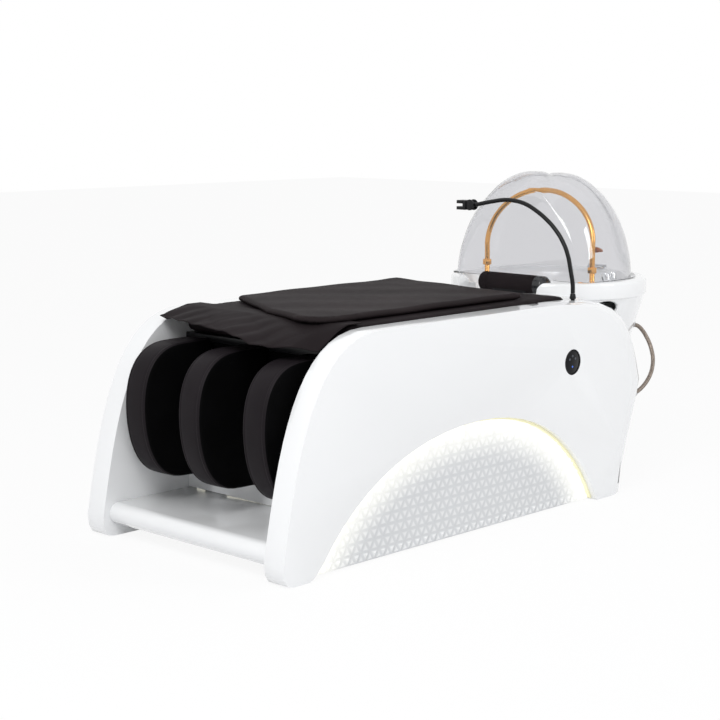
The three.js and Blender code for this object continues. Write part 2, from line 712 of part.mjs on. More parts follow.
function bowl() {
  const band = RIM_TOP - RIM_BAND;
  const under = band + 9;
  const profile = [
    v2(DRAIN_RADIUS, BOWL_FLOOR),
    v2(62, BOWL_FLOOR + 3),
    v2(112, BOWL_FLOOR + 18),
    v2(146, BOWL_FLOOR + 55),
    v2(LEDGE_INNER - 6, BOWL_FLOOR + 108),
    v2(LEDGE_INNER - 2, LEDGE_Z - 6),
    v2(LEDGE_INNER + 4, LEDGE_Z),
    v2(226, LEDGE_Z),
    v2(238, LEDGE_Z + 5),
    v2(248, LEDGE_Z + 28),
    v2(254, RIM_TOP - 6),
    v2(260, RIM_TOP),
    v2(BASIN_Y_RADIUS - 7, RIM_TOP),
    v2(BASIN_Y_RADIUS - 2, RIM_TOP - 3),
    v2(BASIN_Y_RADIUS, RIM_TOP - 9),
    v2(BASIN_Y_RADIUS, band + 4),
    v2(BASIN_Y_RADIUS - 3, band),
    v2(PEDESTAL_TOP_RADIUS - 10, band),
    v2(PEDESTAL_TOP_RADIUS - 10, under),
    v2(244, under),
    v2(232, LEDGE_Z - BOWL_WALL),
    v2(LEDGE_INNER + 6, LEDGE_Z - BOWL_WALL),
    v2(LEDGE_INNER + 1, BOWL_FLOOR + 105),
    v2(146 + BOWL_WALL, BOWL_FLOOR + 51),
    v2(116, BOWL_FLOOR + 12),
    v2(64, BOWL_FLOOR - 4),
    v2(DRAIN_RADIUS, BOWL_FLOOR - BOWL_WALL),
    v2(DRAIN_RADIUS, BOWL_FLOOR),
  ];
  const shell = solid(basinTurned(profile, 36));
  const floorRing = [v2(222, NOTCH_UNDERSIDE), v2(285, NOTCH_UNDERSIDE), v2(285, 545), v2(222, 545)];
  const front = box(0, NOTCH_REAR, -NOTCH_HALF_WIDTH, NOTCH_HALF_WIDTH, 0, RIM_TOP);
  const notchFloor = solid(basinTurned([...floorRing, floorRing[0]], 36)).intersect(solid(front));
  return shell.add(notchFloor).subtract(solid(neckCut()));
}

// A wide U cut through the front of the rim, for the neck.
function neckCut() {
  const low = LEDGE_Z + 1;
  const radius = 30;
  const shape = new THREE.Shape();
  shape.moveTo(-NECK_HALF_WIDTH - 14, RIM_TOP + 5);
  shape.lineTo(-NECK_HALF_WIDTH, low + radius);
  shape.quadraticCurveTo(-NECK_HALF_WIDTH, low, -NECK_HALF_WIDTH + radius, low);
  shape.lineTo(NECK_HALF_WIDTH - radius, low);
  shape.quadraticCurveTo(NECK_HALF_WIDTH, low, NECK_HALF_WIDTH, low + radius);
  shape.lineTo(NECK_HALF_WIDTH + 14, RIM_TOP + 5);
  return alongX(shape, BASIN_X - BASIN_X_RADIUS - 5, ROLL_X + 5, 5);
}

function strainer() {
  const top = BOWL_FLOOR + 4;
  const profile = [
    v2(0, BOWL_FLOOR - 2),
    v2(DRAIN_RADIUS - 2.5, BOWL_FLOOR - 2),
    v2(DRAIN_RADIUS - 2.5, BOWL_FLOOR + 3.6),
    v2(DRAIN_RADIUS + 9, BOWL_FLOOR + 3.6),
    v2(DRAIN_RADIUS + 7, top + 1.5),
    v2(0, top),
  ];
  return turned(profile, BASIN_X, 0, 20);
}

// The waste pipe hangs from the bowl's underside and bends into a water trap.
function wastePipe() {
  const low = BOWL_FLOOR - BOWL_WALL - SEAT_GAP;
  const cup = turned(
    [v2(0, low - 16), v2(DRAIN_RADIUS + 6, low - 16), v2(DRAIN_RADIUS + 6, low), v2(0, low)],
    BASIN_X,
    0,
    16,
  );
  const route = smoothCurve([
    [BASIN_X, 0, low - 10],
    [BASIN_X, 0, low - 90],
    [BASIN_X + 12, 0, low - 140],
    [BASIN_X + 45, 0, low - 158],
    [BASIN_X + 78, 0, low - 140],
    [BASIN_X + 90, 0, low - 100],
    [BASIN_X + 100, 0, low - 130],
    [BASIN_X + 100, 0, 20],
  ]);
  return solid(cup).add(solid(tube(route, 19, 18, 10)));
}

// ---------------------------------------------------------------- neck rest
function neckRoll() {
  const half = ROLL_LENGTH / 2;
  return bar(ROLL_RADIUS, v3(ROLL_X, -half, ROLL_Z), v3(ROLL_X, half, ROLL_Z), 20);
}

function neckSaddle() {
  const block = solid(box(ROLL_X - 24, ROLL_X + 4, -60, 60, LEDGE_Z + SEAT_GAP, ROLL_Z - 8));
  const groove = bar(ROLL_RADIUS + SEAT_GAP, v3(ROLL_X, -70, ROLL_Z), v3(ROLL_X, 70, ROLL_Z), 20);
  return block.subtract(solid(groove));
}

// ---------------------------------------------------------------- water ring and taps
function waterRing() {
  const points = [[RING_X, -RING_HALF_WIDTH, RING_BASE_Z - COLLAR_HEIGHT / 2]];
  points.push([RING_X, -RING_HALF_WIDTH, (RING_BASE_Z + RING_SPRING_Z) / 2]);
  const arcs = 12;
  for (let i = 0; i <= arcs; i++) {
    const turn = (i / arcs) * Math.PI;
    const lift = Math.sin(turn);
    const z = RING_SPRING_Z + (RING_TOP_Z - RING_SPRING_Z) * lift;
    points.push([RING_X + RING_LEAN * lift, -RING_HALF_WIDTH * Math.cos(turn), z]);
  }
  points.push([RING_X, RING_HALF_WIDTH, (RING_BASE_Z + RING_SPRING_Z) / 2]);
  points.push([RING_X, RING_HALF_WIDTH, RING_BASE_Z - COLLAR_HEIGHT / 2]);
  return tube(smoothCurve(points), RING_TUBE, 28, 8);
}

// A six-sided nut round the foot of the ring, hollow for the pipe.
function ringCollar(y) {
  const top = RING_BASE_Z - COLLAR_HEIGHT / 2;
  const bore = RING_TUBE + SEAT_GAP;
  const nut = new THREE.CylinderGeometry(COLLAR_RADIUS, COLLAR_RADIUS, COLLAR_HEIGHT, 6)
    .rotateX(Math.PI / 2)
    .translate(RING_X, y, top);
  const hole = bar(bore, v3(RING_X, y, top - COLLAR_HEIGHT), v3(RING_X, y, top + COLLAR_HEIGHT), 16);
  return solid(nut).subtract(solid(hole));
}

function ringRiser(y) {
  const top = RING_BASE_Z - COLLAR_HEIGHT / 2 - SEAT_GAP;
  const base = turned(
    [v2(0, LEDGE_Z + SEAT_GAP), v2(16, LEDGE_Z + SEAT_GAP), v2(16, LEDGE_Z + 5), v2(0, LEDGE_Z + 5)],
    RING_X,
    y,
    16,
  );
  const pipe = bar(RING_TUBE, v3(RING_X, y, LEDGE_Z + 3), v3(RING_X, y, top), 16);
  return solid(base).add(solid(pipe));
}

// The winged handle of the ring's stop valve, on the head side of the right leg.
function valveHandle() {
  const x = RING_X + RING_TUBE + VALVE_CLEARANCE;
  const y = -RING_HALF_WIDTH;
  const wing = new THREE.Shape();
  wing.moveTo(y - VALVE_WING, VALVE_Z + 1);
  wing.quadraticCurveTo(y - 10, VALVE_Z + 6, y, VALVE_Z + 8);
  wing.quadraticCurveTo(y + 10, VALVE_Z + 6, y + VALVE_WING, VALVE_Z + 1);
  wing.lineTo(y + VALVE_WING, VALVE_Z - 5);
  wing.quadraticCurveTo(y + 10, VALVE_Z - 6, y, VALVE_Z - 8);
  wing.quadraticCurveTo(y - 10, VALVE_Z - 6, y - VALVE_WING, VALVE_Z - 5);
  const wings = solid(alongX(wing, x + 6, x + 12, 4));
  const stem = solid(bar(5, v3(x, y, VALVE_Z), v3(x + 14, y, VALVE_Z), 12));
  return wings.add(stem);
}

const TAP_MIDDLE = v2(BASIN_X + 136, -115);

function tapPlace(side) {
  const turn = THREE.MathUtils.degToRad(TAP_ANGLE);
  const reach = (side * TAP_SPACING) / 2;
  return v2(TAP_MIDDLE.x + reach * Math.cos(turn), TAP_MIDDLE.y + reach * Math.sin(turn));
}

function mixerBody() {
  const half = TAP_SPACING / 2 + TAP_RADIUS + 2;
  const low = LEDGE_Z + SEAT_GAP;
  return roundedBox(-half, half, -TAP_RADIUS - 2, TAP_RADIUS + 2, low, low + 18, 12)
    .rotateZ(THREE.MathUtils.degToRad(TAP_ANGLE))
    .translate(TAP_MIDDLE.x, TAP_MIDDLE.y, 0);
}

// A turned tap knob with two flats for the fingers.
function tapKnob(side) {
  const low = LEDGE_Z + 18 + 2 * SEAT_GAP;
  const place = tapPlace(side);
  const profile = [
    v2(0, low),
    v2(TAP_RADIUS - 5, low),
    v2(TAP_RADIUS, low + 5),
    v2(TAP_RADIUS, low + TAP_HEIGHT - 5),
    v2(TAP_RADIUS - 3, low + TAP_HEIGHT),
    v2(0, low + TAP_HEIGHT),
  ];
  const knob = turned(profile, place.x, place.y, 18);
  const grip = TAP_RADIUS - 3.5;
  const flat = (near, far) =>
    solid(
      box(
        place.x + near,
        place.x + far,
        place.y - TAP_RADIUS - 1,
        place.y + TAP_RADIUS + 1,
        low + TAP_HEIGHT / 3,
        low + TAP_HEIGHT + 1,
      ),
    );
  return solid(knob)
    .subtract(flat(grip, TAP_RADIUS + 1))
    .subtract(flat(-TAP_RADIUS - 1, -grip));
}

// ---------------------------------------------------------------- clear hood
// Distance from the hood's centre to its crest surface in a direction: an egg, fuller to the front.
function hoodReach(x, y, z) {
  const side = Math.hypot(y / HOOD_Y_RADIUS, z / HOOD_HEIGHT);
  const length = Math.abs(x) / (HOOD_Y_RADIUS * BASIN_SQUEEZE);
  const fullness = x < 0 ? 3 : 2;
  return (length ** fullness + side ** fullness) ** (-1 / fullness);
}

// Four soft lobes: grooves run down the diagonals from a shallow dip in the crown.
function hoodLobes(x, y, z) {
  const flat = Math.hypot(x, y);
  const groove = flat < 1e-6 ? 0 : Math.abs((2 * x * y) / (flat * flat)) ** 5;
  const fade = Math.min(1, Math.max(0, z / 0.35)) * Math.min(1, flat / 0.35);
  const dimple = Math.exp(-((flat / 0.22) ** 2));
  return 1 - HOOD_VALLEY * groove * fade - HOOD_DIMPLE * dimple;
}

function hoodShell() {
  const arcs = 9;
  const wall = HOOD_WALL / HOOD_Y_RADIUS;
  const arc = (share) =>
    Array.from({ length: arcs + 1 }, (_, i) => {
      const turn = (Math.PI / 2) * (1 - i / arcs);
      return v2(Math.max(0, share * Math.cos(turn)), share * Math.sin(turn));
    });
  const outside = arc(1).reverse();
  outside[0].y = wall;
  outside[0].x = 1;
  const profile = [...arc(1 - wall), v2(1 + HOOD_FLANGE, 0), v2(1 + HOOD_FLANGE, wall), ...outside];
  profile[0].x = 0;
  profile[profile.length - 1].x = 0;
  const geometry = turned(profile, 0, 0, 36);
  const position = geometry.attributes.position;
  for (let i = 0; i < position.count; i++) {
    const at = v3().fromBufferAttribute(position, i);
    const length = at.length();
    const d = at.clone().divideScalar(length);
    const low = at.z < wall * 1.01;
    const flatLength = Math.hypot(at.x, at.y);
    const reach = low
      ? hoodReach(at.x / flatLength, at.y / flatLength, 0) * flatLength
      : hoodReach(d.x, d.y, d.z) * hoodLobes(d.x, d.y, d.z) * length;
    if (low) {
      position.setXYZ(i, (at.x / flatLength) * reach, (at.y / flatLength) * reach, at.z * HOOD_Y_RADIUS);
    } else {
      position.setXYZ(i, d.x * reach, d.y * reach, d.z * reach);
    }
  }
  geometry.translate(BASIN_X, 0, RIM_TOP + SEAT_GAP);
  const front = box(BASIN_X - 400, HOOD_FRONT_X, -400, 400, RIM_TOP - 50, RIM_TOP + 400);
  return solid(geometry).subtract(solid(front));
}

// The outline of the hood where its front wall closes it.
function hoodSection(growth) {
  const x = (HOOD_FRONT_X - BASIN_X) / (HOOD_Y_RADIUS * BASIN_SQUEEZE);
  const share = (1 - Math.abs(x) ** 3) ** (1 / 3);
  const points = [];
  for (let i = 0; i <= 24; i++) {
    const turn = (i / 24) * Math.PI;
    const dip = 1 - HOOD_VALLEY * Math.exp(-(((Math.abs(Math.cos(turn)) - 0.55) / 0.16) ** 2));
    const y = (HOOD_Y_RADIUS * share * dip + growth) * Math.cos(turn);
    const z = (HOOD_HEIGHT * share * dip + growth) * Math.sin(turn);
    points.push(v2(y, RIM_TOP + 2 * SEAT_GAP + z));
  }
  return points;
}

function hoodFront() {
  const base = RIM_TOP + 2 * SEAT_GAP;
  const rise = OPENING_TOP_Z - base;
  const shape = new THREE.Shape(hoodSection(-1));
  const opening = new THREE.Shape();
  const shoulder = base + rise * 0.75;
  const half = OPENING_HALF_WIDTH;
  opening.moveTo(-half, base - 10);
  opening.bezierCurveTo(-half + 8, shoulder, -95, OPENING_TOP_Z, 0, OPENING_TOP_Z);
  opening.bezierCurveTo(95, OPENING_TOP_Z, half - 8, shoulder, half, base - 10);
  const plate = solid(alongX(shape, HOOD_FRONT_X - SEAT_GAP - HOOD_WALL, HOOD_FRONT_X - SEAT_GAP));
  return plate.subtract(solid(alongX(opening, HOOD_FRONT_X - 20, HOOD_FRONT_X + 20, 14)));
}

// Rear hinge: a base with two ears on the rim, a pin, and a leaf on the hood's foot flange.
function hingeBase() {
  const low = RIM_TOP + SEAT_GAP;
  const rear = HINGE_X + 8;
  const plate = solid(box(HINGE_X - 3, rear, -HINGE_HALF_LENGTH, HINGE_HALF_LENGTH, low, low + 2.5));
  const ear = (side) => {
    const inner = side * (HINGE_HALF_LENGTH - 7);
    const outer = side * HINGE_HALF_LENGTH;
    const yLow = Math.min(inner, outer);
    const yHigh = Math.max(inner, outer);
    const post = solid(box(HINGE_X - 3, HINGE_X + 4.2, yLow, yHigh, low + 1, HINGE_Z));
    const eye = solid(bar(HINGE_BARREL, v3(HINGE_X, yLow, HINGE_Z), v3(HINGE_X, yHigh, HINGE_Z), 16));
    return post.add(eye);
  };
  const bore = bar(
    HINGE_PIN + SEAT_GAP,
    v3(HINGE_X, -HINGE_HALF_LENGTH - 2, HINGE_Z),
    v3(HINGE_X, HINGE_HALF_LENGTH + 2, HINGE_Z),
    16,
  );
  return plate.add(ear(1)).add(ear(-1)).subtract(solid(bore));
}

function hingePin() {
  const half = HINGE_HALF_LENGTH + 1.5;
  return bar(HINGE_PIN, v3(HINGE_X, -half, HINGE_Z), v3(HINGE_X, half, HINGE_Z), 16);
}

function hingeLeaf() {
  const half = HINGE_HALF_LENGTH - 8;
  const flangeTop = RIM_TOP + SEAT_GAP + HOOD_WALL;
  const barrel = solid(bar(HINGE_BARREL, v3(HINGE_X, -half, HINGE_Z), v3(HINGE_X, half, HINGE_Z), 16));
  const tongue = solid(
    box(HINGE_X - LEAF_REACH, HINGE_X, -half, half, flangeTop + SEAT_GAP + 0.2, flangeTop + SEAT_GAP + 3.2),
  );
  const bore = bar(
    HINGE_PIN + SEAT_GAP,
    v3(HINGE_X, -half - 1, HINGE_Z),
    v3(HINGE_X, half + 1, HINGE_Z),
    16,
  );
  return barrel.add(tongue).subtract(solid(bore));
}

// ---------------------------------------------------------------- gooseneck arm and clip
function armSocket() {
  const low = BODY_TOP - 6 + SEAT_GAP;
  const profile = [
    v2(0, low),
    v2(SOCKET_RADIUS - 3, low),
    v2(SOCKET_RADIUS - 3, BODY_TOP + SEAT_GAP),
    v2(SOCKET_RADIUS, BODY_TOP + SEAT_GAP),
    v2(SOCKET_RADIUS, BODY_TOP + 4),
    v2(SOCKET_RADIUS - 2, BODY_TOP + SOCKET_HEIGHT),
    v2(0, BODY_TOP + SOCKET_HEIGHT),
  ];
  return turned(profile, ARM_X, ARM_Y, 16);
}

function gooseneckArm() {
  const start = BODY_TOP + SOCKET_HEIGHT + 2 * SEAT_GAP;
  const bends = ARM_BENDS.map(([across, z]) => [ARM_X, ARM_Y + across, z]);
  return tube(smoothCurve([[ARM_X, ARM_Y, start], ...bends]), ARM_TUBE, 28, 8);
}

const CLIP_START = ARM_Y + ARM_REACH + 0.8;
const CLIP_PIVOT_Y = CLIP_START + 15;
const CLIP_PIVOT_Z = CLIP_Z + 1;

// The swivel joint at the arm's end: a short barrel held in the clip's fork.
function clipJoint() {
  const neck = solid(
    bar(5.8, v3(ARM_X, CLIP_START, CLIP_PIVOT_Z + 2), v3(ARM_X, CLIP_START + 10, CLIP_PIVOT_Z), 14),
  );
  const barrel = solid(
    bar(10, v3(ARM_X - 6, CLIP_PIVOT_Y, CLIP_PIVOT_Z), v3(ARM_X + 6, CLIP_PIVOT_Y, CLIP_PIVOT_Z), 18),
  );
  return neck.add(barrel);
}

// The clip's body: a fork round the barrel, a back plate and the lower jaw.
function clipBody() {
  const y = CLIP_PIVOT_Y;
  const z = CLIP_PIVOT_Z;
  const cheeks = [-1, 1].map((side) => {
    const inner = ARM_X + side * 6.5;
    const outer = ARM_X + side * 11;
    const from = v3(Math.min(inner, outer), y, z);
    const to = v3(Math.max(inner, outer), y, z);
    const reach = box(from.x, to.x, y, y + 16, z - 9, z + 9);
    return solid(bar(15, from, to, 18)).add(solid(reach));
  });
  const back = solid(box(ARM_X - 14, ARM_X + 14, y + 11.5, y + 20, z - 14, z + 11));
  const jaw = solid(box(ARM_X - 14, ARM_X + 14, y + 18, y + 18 + JAW_LENGTH, z - 14, z - 5));
  return back.add(jaw).add(cheeks[0]).add(cheeks[1]);
}

// The sliding upper jaw, sprung down onto the lower one.
function clipJaw() {
  const y = CLIP_PIVOT_Y;
  const z = CLIP_PIVOT_Z;
  const jaw = solid(box(ARM_X - 14, ARM_X + 14, y + 20.3, y + 18 + JAW_LENGTH, z + 3, z + 12));
  const guide = solid(box(ARM_X - 9, ARM_X + 9, y + 20.3, y + 26, z - 4.7, z + 4));
  return jaw.add(guide);
}

// White apron that closes the gap between the mattress and the basin.
function headApron(basinOuter) {
  const reach = INNER_Y - SEAT_GAP;
  const top = BODY_TOP - 3;
  const rear = MATTRESS_REAR + APRON_LENGTH;
  const plate = box(MATTRESS_REAR + SEAT_GAP, rear, -reach, reach, top - APRON_THICKNESS, top);
  return solid(plate).subtract(basinOuter);
}

// ---------------------------------------------------------------- touch disc, hose and services
function discBezel() {
  const face = -HALF_WIDTH + SEAT_GAP;
  const ring = bar(DISC_RADIUS, v3(DISC_X, face, DISC_Z), v3(DISC_X, face + 16, DISC_Z), 36);
  const inner = DISC_RADIUS - DISC_RIM;
  const cup = bar(inner, v3(DISC_X, face - 1, DISC_Z), v3(DISC_X, face + 12, DISC_Z), 36);
  return solid(ring).subtract(solid(cup));
}

function discFace() {
  const radius = DISC_RADIUS - DISC_RIM - SEAT_GAP;
  const face = -HALF_WIDTH + 1.2;
  return bar(radius, v3(DISC_X, face, DISC_Z), v3(DISC_X, face + 10.5, DISC_Z), 36);
}

function discHole() {
  const radius = DISC_RADIUS + SEAT_GAP;
  return bar(radius, v3(DISC_X, -HALF_WIDTH - 5, DISC_Z), v3(DISC_X, -INNER_Y + 5, DISC_Z), 36);
}

const hoseEnds = (points) => {
  const places = points.map((p) => v3(...p));
  const last = places.length - 1;
  return {
    first: places[0],
    outward: places[0].clone().sub(places[1]).normalize(),
    last: places[last],
    inward: places[last].clone().sub(places[last - 1]).normalize(),
  };
};

// A hexagon union with a short spigot, pushed onto the wall it is screwed to.
function hoseFitting(end, direction, length) {
  const from = end.clone().addScaledVector(direction, SEAT_GAP);
  const to = from.clone().addScaledVector(direction, length);
  const nut = solid(bar(9.5, from, from.clone().addScaledVector(direction, 10), 6));
  const spigot = solid(bar(7, from, to, 14));
  return nut.add(spigot);
}

// ---------------------------------------------------------------- assembly
const bed = new THREE.Group();
bed.position.set(-OVERALL_LENGTH / 2, 0, 0);

function add(name, shape, material) {
  const geometry = shape.isBufferGeometry ? shape : geometryOf(shape);
  const mesh = new THREE.Mesh(geometry, material);
  mesh.name = name;
  bed.add(mesh);
  return mesh;
}

const clearance = basinClearance();
const ends = hoseEnds(HOSE_POINTS);
const upperFitting = hoseFitting(ends.first, ends.outward, 24);
const lowerFitting = hoseFitting(ends.last, ends.inward, 26);
const plainShell = sideShell(clearance);
const socketHole = solid(
  bar(SOCKET_RADIUS - 2.7, v3(ARM_X, ARM_Y, BODY_TOP - 6), v3(ARM_X, ARM_Y, BODY_TOP + 5), 16),
);
const hoseHole = solid(bar(7.4, ends.last, ends.last.clone().addScaledVector(ends.inward, 60), 14));
const nutSeat = solid(bar(10.5, ends.last, ends.last.clone().addScaledVector(ends.inward, 10.6), 14));

add(
  "side_shell_right",
  plainShell.subtract(solid(discHole())).subtract(socketHole).subtract(hoseHole).subtract(nutSeat),
  WHITE_GELCOAT,
);
add("side_shell_left", mirrored(geometryOf(plainShell)), WHITE_GELCOAT);
add("foot_board", footBoard(), WHITE_GELCOAT);
add("front_bulkhead", bulkhead(), WHITE_GELCOAT);
add("arch_panel_right", archPanel(), WHITE_GELCOAT);
add("arch_panel_left", mirrored(archPanel()), WHITE_GELCOAT);
add("led_strip_right", ledStrip(), LED_LIGHT);
add("led_strip_left", mirrored(ledStrip()), LED_LIGHT);

add("deck_board", deckBoard(), RAW_BOARD);
add("frame_side_right", frameSide(), FRAME_PAINT);
add("frame_side_left", mirrored(geometryOf(frameSide())), FRAME_PAINT);
add("cross_member_front", crossMember(FRAME_FRONT), FRAME_PAINT);
add("cross_member_rear", crossMember(FRAME_REAR - FRAME_TUBE), FRAME_PAINT);
[FRAME_FRONT, FRAME_REAR - FRAME_TUBE].forEach((x, row) => {
  [-1, 1].forEach((side) => {
    const name = `glide_foot_${row ? "rear" : "front"}_${side < 0 ? "right" : "left"}`;
    add(name, glideFoot().translate(x + FRAME_TUBE / 2, side * FRAME_Y, 0), RUBBER);
  });
});
add("equipment_shelf", equipmentShelf(), RAW_BOARD);
add("air_pump", machineCase(PUMP), GREY_CASE);
add("water_heater", machineCase(HEATER), GREY_CASE);

add("mattress", mattress(), BLACK_FABRIC);
add("cover_flap", coverFlap(), BLACK_FABRIC);
add("top_mat", topMat(), BLACK_FABRIC);
[
  ["right", -PAD_SPACING],
  ["middle", MIDDLE_PAD_Y],
  ["left", PAD_SPACING],
].forEach(([name, y]) => {
  add(`calf_pad_${name}`, calfPad(y), BLACK_FABRIC);
  add(`calf_bracket_${name}`, calfBracket(y), STEEL);
});

add("basin_bowl", bowl(), WHITE_GELCOAT);
const unionSeat = bar(9.9, ends.first, ends.first.clone().addScaledVector(ends.outward, 60), 14);
add("basin_pedestal", pedestal().subtract(solid(unionSeat)), WHITE_GELCOAT);
add("head_apron", headApron(clearance), WHITE_GELCOAT);
add("drain_strainer", strainer(), CHROME);
add("waste_pipe", wastePipe(), GREY_CASE);
add("neck_roll", neckRoll(), BLACK_FABRIC);
add("neck_saddle", neckSaddle(), BLACK_PLASTIC);

add("water_ring", waterRing(), GOLD);
[
  ["right", -RING_HALF_WIDTH],
  ["left", RING_HALF_WIDTH],
].forEach(([name, y]) => {
  add(`ring_collar_${name}`, ringCollar(y), GOLD);
  add(`ring_riser_${name}`, ringRiser(y), GOLD);
});
add("ring_valve_handle", valveHandle(), COPPER);
add("mixer_body", mixerBody(), CHROME);
add("hot_knob", tapKnob(-1), CHROME);
add("cold_knob", tapKnob(1), CHROME);

add("hood_shell", hoodShell(), CLEAR_ACRYLIC);
add("hood_front", hoodFront(), CLEAR_ACRYLIC);
add("hinge_base", hingeBase(), CHROME);
add("hinge_pin", hingePin(), STEEL);
add("hinge_leaf", hingeLeaf(), CHROME);

add("arm_socket", armSocket(), BLACK_PLASTIC);
add("gooseneck_arm", gooseneckArm(), BLACK_PLASTIC);
add("clip_joint", clipJoint(), BLACK_PLASTIC);
add("clip_body", clipBody(), BLACK_PLASTIC);
add("clip_jaw", clipJaw(), BLACK_PLASTIC);

add("disc_bezel", discBezel(), BLACK_PLASTIC);
add("disc_face", discFace(), BLACK_PLASTIC);
add("supply_hose", tube(smoothCurve(HOSE_POINTS), HOSE_RADIUS, 20, 8), BRAID);
add("hose_fitting_upper", upperFitting, STEEL);
add("hose_fitting_lower", lowerFitting, STEEL);

export default bed;
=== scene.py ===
import json
import math

import bmesh
import bpy
import numpy as np
from mathutils import Matrix, Vector


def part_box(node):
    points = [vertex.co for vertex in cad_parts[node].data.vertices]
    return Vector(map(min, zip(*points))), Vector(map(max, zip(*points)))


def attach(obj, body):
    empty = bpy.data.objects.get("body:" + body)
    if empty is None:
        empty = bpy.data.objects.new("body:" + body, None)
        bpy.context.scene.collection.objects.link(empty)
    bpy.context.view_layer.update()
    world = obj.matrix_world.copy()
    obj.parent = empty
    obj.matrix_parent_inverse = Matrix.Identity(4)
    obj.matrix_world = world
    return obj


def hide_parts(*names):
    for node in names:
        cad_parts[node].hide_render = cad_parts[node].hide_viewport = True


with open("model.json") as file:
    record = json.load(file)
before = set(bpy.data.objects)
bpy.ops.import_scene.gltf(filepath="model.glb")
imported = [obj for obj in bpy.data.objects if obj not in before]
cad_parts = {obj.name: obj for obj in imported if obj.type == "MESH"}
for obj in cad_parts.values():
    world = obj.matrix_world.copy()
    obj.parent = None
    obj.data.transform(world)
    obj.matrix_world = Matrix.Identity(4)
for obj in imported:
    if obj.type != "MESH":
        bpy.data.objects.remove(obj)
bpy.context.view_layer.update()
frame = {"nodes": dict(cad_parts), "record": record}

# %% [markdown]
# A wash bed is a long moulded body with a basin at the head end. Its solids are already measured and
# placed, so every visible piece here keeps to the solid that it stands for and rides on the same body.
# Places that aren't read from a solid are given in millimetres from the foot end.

NODES = frame["nodes"]
BODY_OF = {n: b for b, ns in frame["record"]["behaviour"]["bodies"].items() for n in ns}
FOOT_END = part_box("side_shell_right")[0].x
MM = 0.001


def place(x, y, z):
    """A point in metres from millimetres measured from the foot end."""
    return Vector((FOOT_END + x * MM, y * MM, z * MM))


# %% [markdown]
# The camera comes first. A wash bed is shown from its foot end and right side, a little above the mattress,
# through a long lens from about four metres away, so that its long side isn't stretched.

# %% Camera
LENS_MM = 82.55
SENSOR_MM = 36.0
YAW = math.radians(43.828)
PITCH = math.radians(8.818)
CAMERA_PLACE = Vector((-3.21824, -2.8811, 1.049))
camera_data = bpy.data.cameras.new("studio_camera")
camera_data.lens = LENS_MM
camera_data.sensor_width = SENSOR_MM
camera = bpy.data.objects.new("studio_camera", camera_data)
bpy.context.scene.collection.objects.link(camera)
look = Vector((math.cos(YAW) * math.cos(PITCH), math.sin(YAW) * math.cos(PITCH), -math.sin(PITCH)))
camera.rotation_euler = look.to_track_quat("-Z", "Y").to_euler()
camera.location = CAMERA_PLACE
bpy.context.scene.camera = camera
print("camera at", list(camera.location))
# %% [markdown]
# Every finish is made from nodes: a slow noise shifts the colour a little, a second one shifts the
# roughness, and a fine pattern gives the surface its grain. All of them read Object coordinates, so a
# pattern stays put when a piece moves with its joint.


# %% Finish maker
def new_nodes(name):
    material = bpy.data.materials.new(name)
    material.use_nodes = True
    tree = material.node_tree
    shader = tree.nodes["Principled BSDF"]
    coords = tree.nodes.new("ShaderNodeTexCoord")
    return material, tree, shader, coords.outputs["Object"]


def noise(tree, coords, scale, detail=3.0):
    node = tree.nodes.new("ShaderNodeTexNoise")
    node.inputs["Scale"].default_value = scale
    node.inputs["Detail"].default_value = detail
    tree.links.new(coords, node.inputs["Vector"])
    return node.outputs["Fac"]


def shade_between(tree, factor, dark, light):
    ramp = tree.nodes.new("ShaderNodeValToRGB")
    ramp.color_ramp.elements[0].position = 0.3
    ramp.color_ramp.elements[1].position = 0.7
    ramp.color_ramp.elements[0].color = (*dark, 1)
    ramp.color_ramp.elements[1].color = (*light, 1)
    tree.links.new(factor, ramp.inputs["Fac"])
    return ramp.outputs["Color"]


def bumped(tree, shader, height, strength, distance):
    bump = tree.nodes.new("ShaderNodeBump")
    bump.inputs["Strength"].default_value = strength
    bump.inputs["Distance"].default_value = distance
    tree.links.new(height, bump.inputs["Height"])
    tree.links.new(bump.outputs["Normal"], shader.inputs["Normal"])


def maths(tree, operation, first, second):
    """A math node. Each input is a socket or a plain number."""
    node = tree.nodes.new("ShaderNodeMath")
    node.operation = operation
    for slot, value in zip(node.inputs, (first, second)):
        if isinstance(value, float):
            slot.default_value = value
        else:
            tree.links.new(value, slot)
    return node.outputs[0]


def mixed(tree, factor, plain, other, surface):
    """Blends two shaders into the material's or the world's output."""
    mix = tree.nodes.new("ShaderNodeMixShader")
    tree.links.new(factor, mix.inputs["Fac"])
    tree.links.new(plain.outputs[0], mix.inputs[1])
    tree.links.new(other.outputs[0], mix.inputs[2])
    tree.links.new(mix.outputs[0], surface.inputs["Surface"])


def finish(name, color, rough, metal=0.0, vary=0.05, cloud=3.0, grain=400.0, depth=0.00005, strength=0.3,
           rough_vary=0.05, **sockets):
    """A finish with a slow colour shift, a changing roughness and a fine grain."""
    material, tree, shader, coords = new_nodes(name)
    slow = noise(tree, coords, cloud)
    dark = [c * (1 - vary) for c in color]
    light = [min(1.0, c * (1 + vary)) for c in color]
    tree.links.new(shade_between(tree, slow, dark, light), shader.inputs["Base Color"])
    spread = tree.nodes.new("ShaderNodeMapRange")
    spread.inputs["To Min"].default_value = max(0.01, rough - rough_vary)
    spread.inputs["To Max"].default_value = min(1.0, rough + rough_vary)
    tree.links.new(noise(tree, coords, cloud * 9), spread.inputs["Value"])
    tree.links.new(spread.outputs["Result"], shader.inputs["Roughness"])
    shader.inputs["Metallic"].default_value = metal
    bumped(tree, shader, noise(tree, coords, grain, 4.0), strength, depth)
    for socket, value in sockets.items():
        shader.inputs[socket.replace("_", " ")].default_value = value
    return material


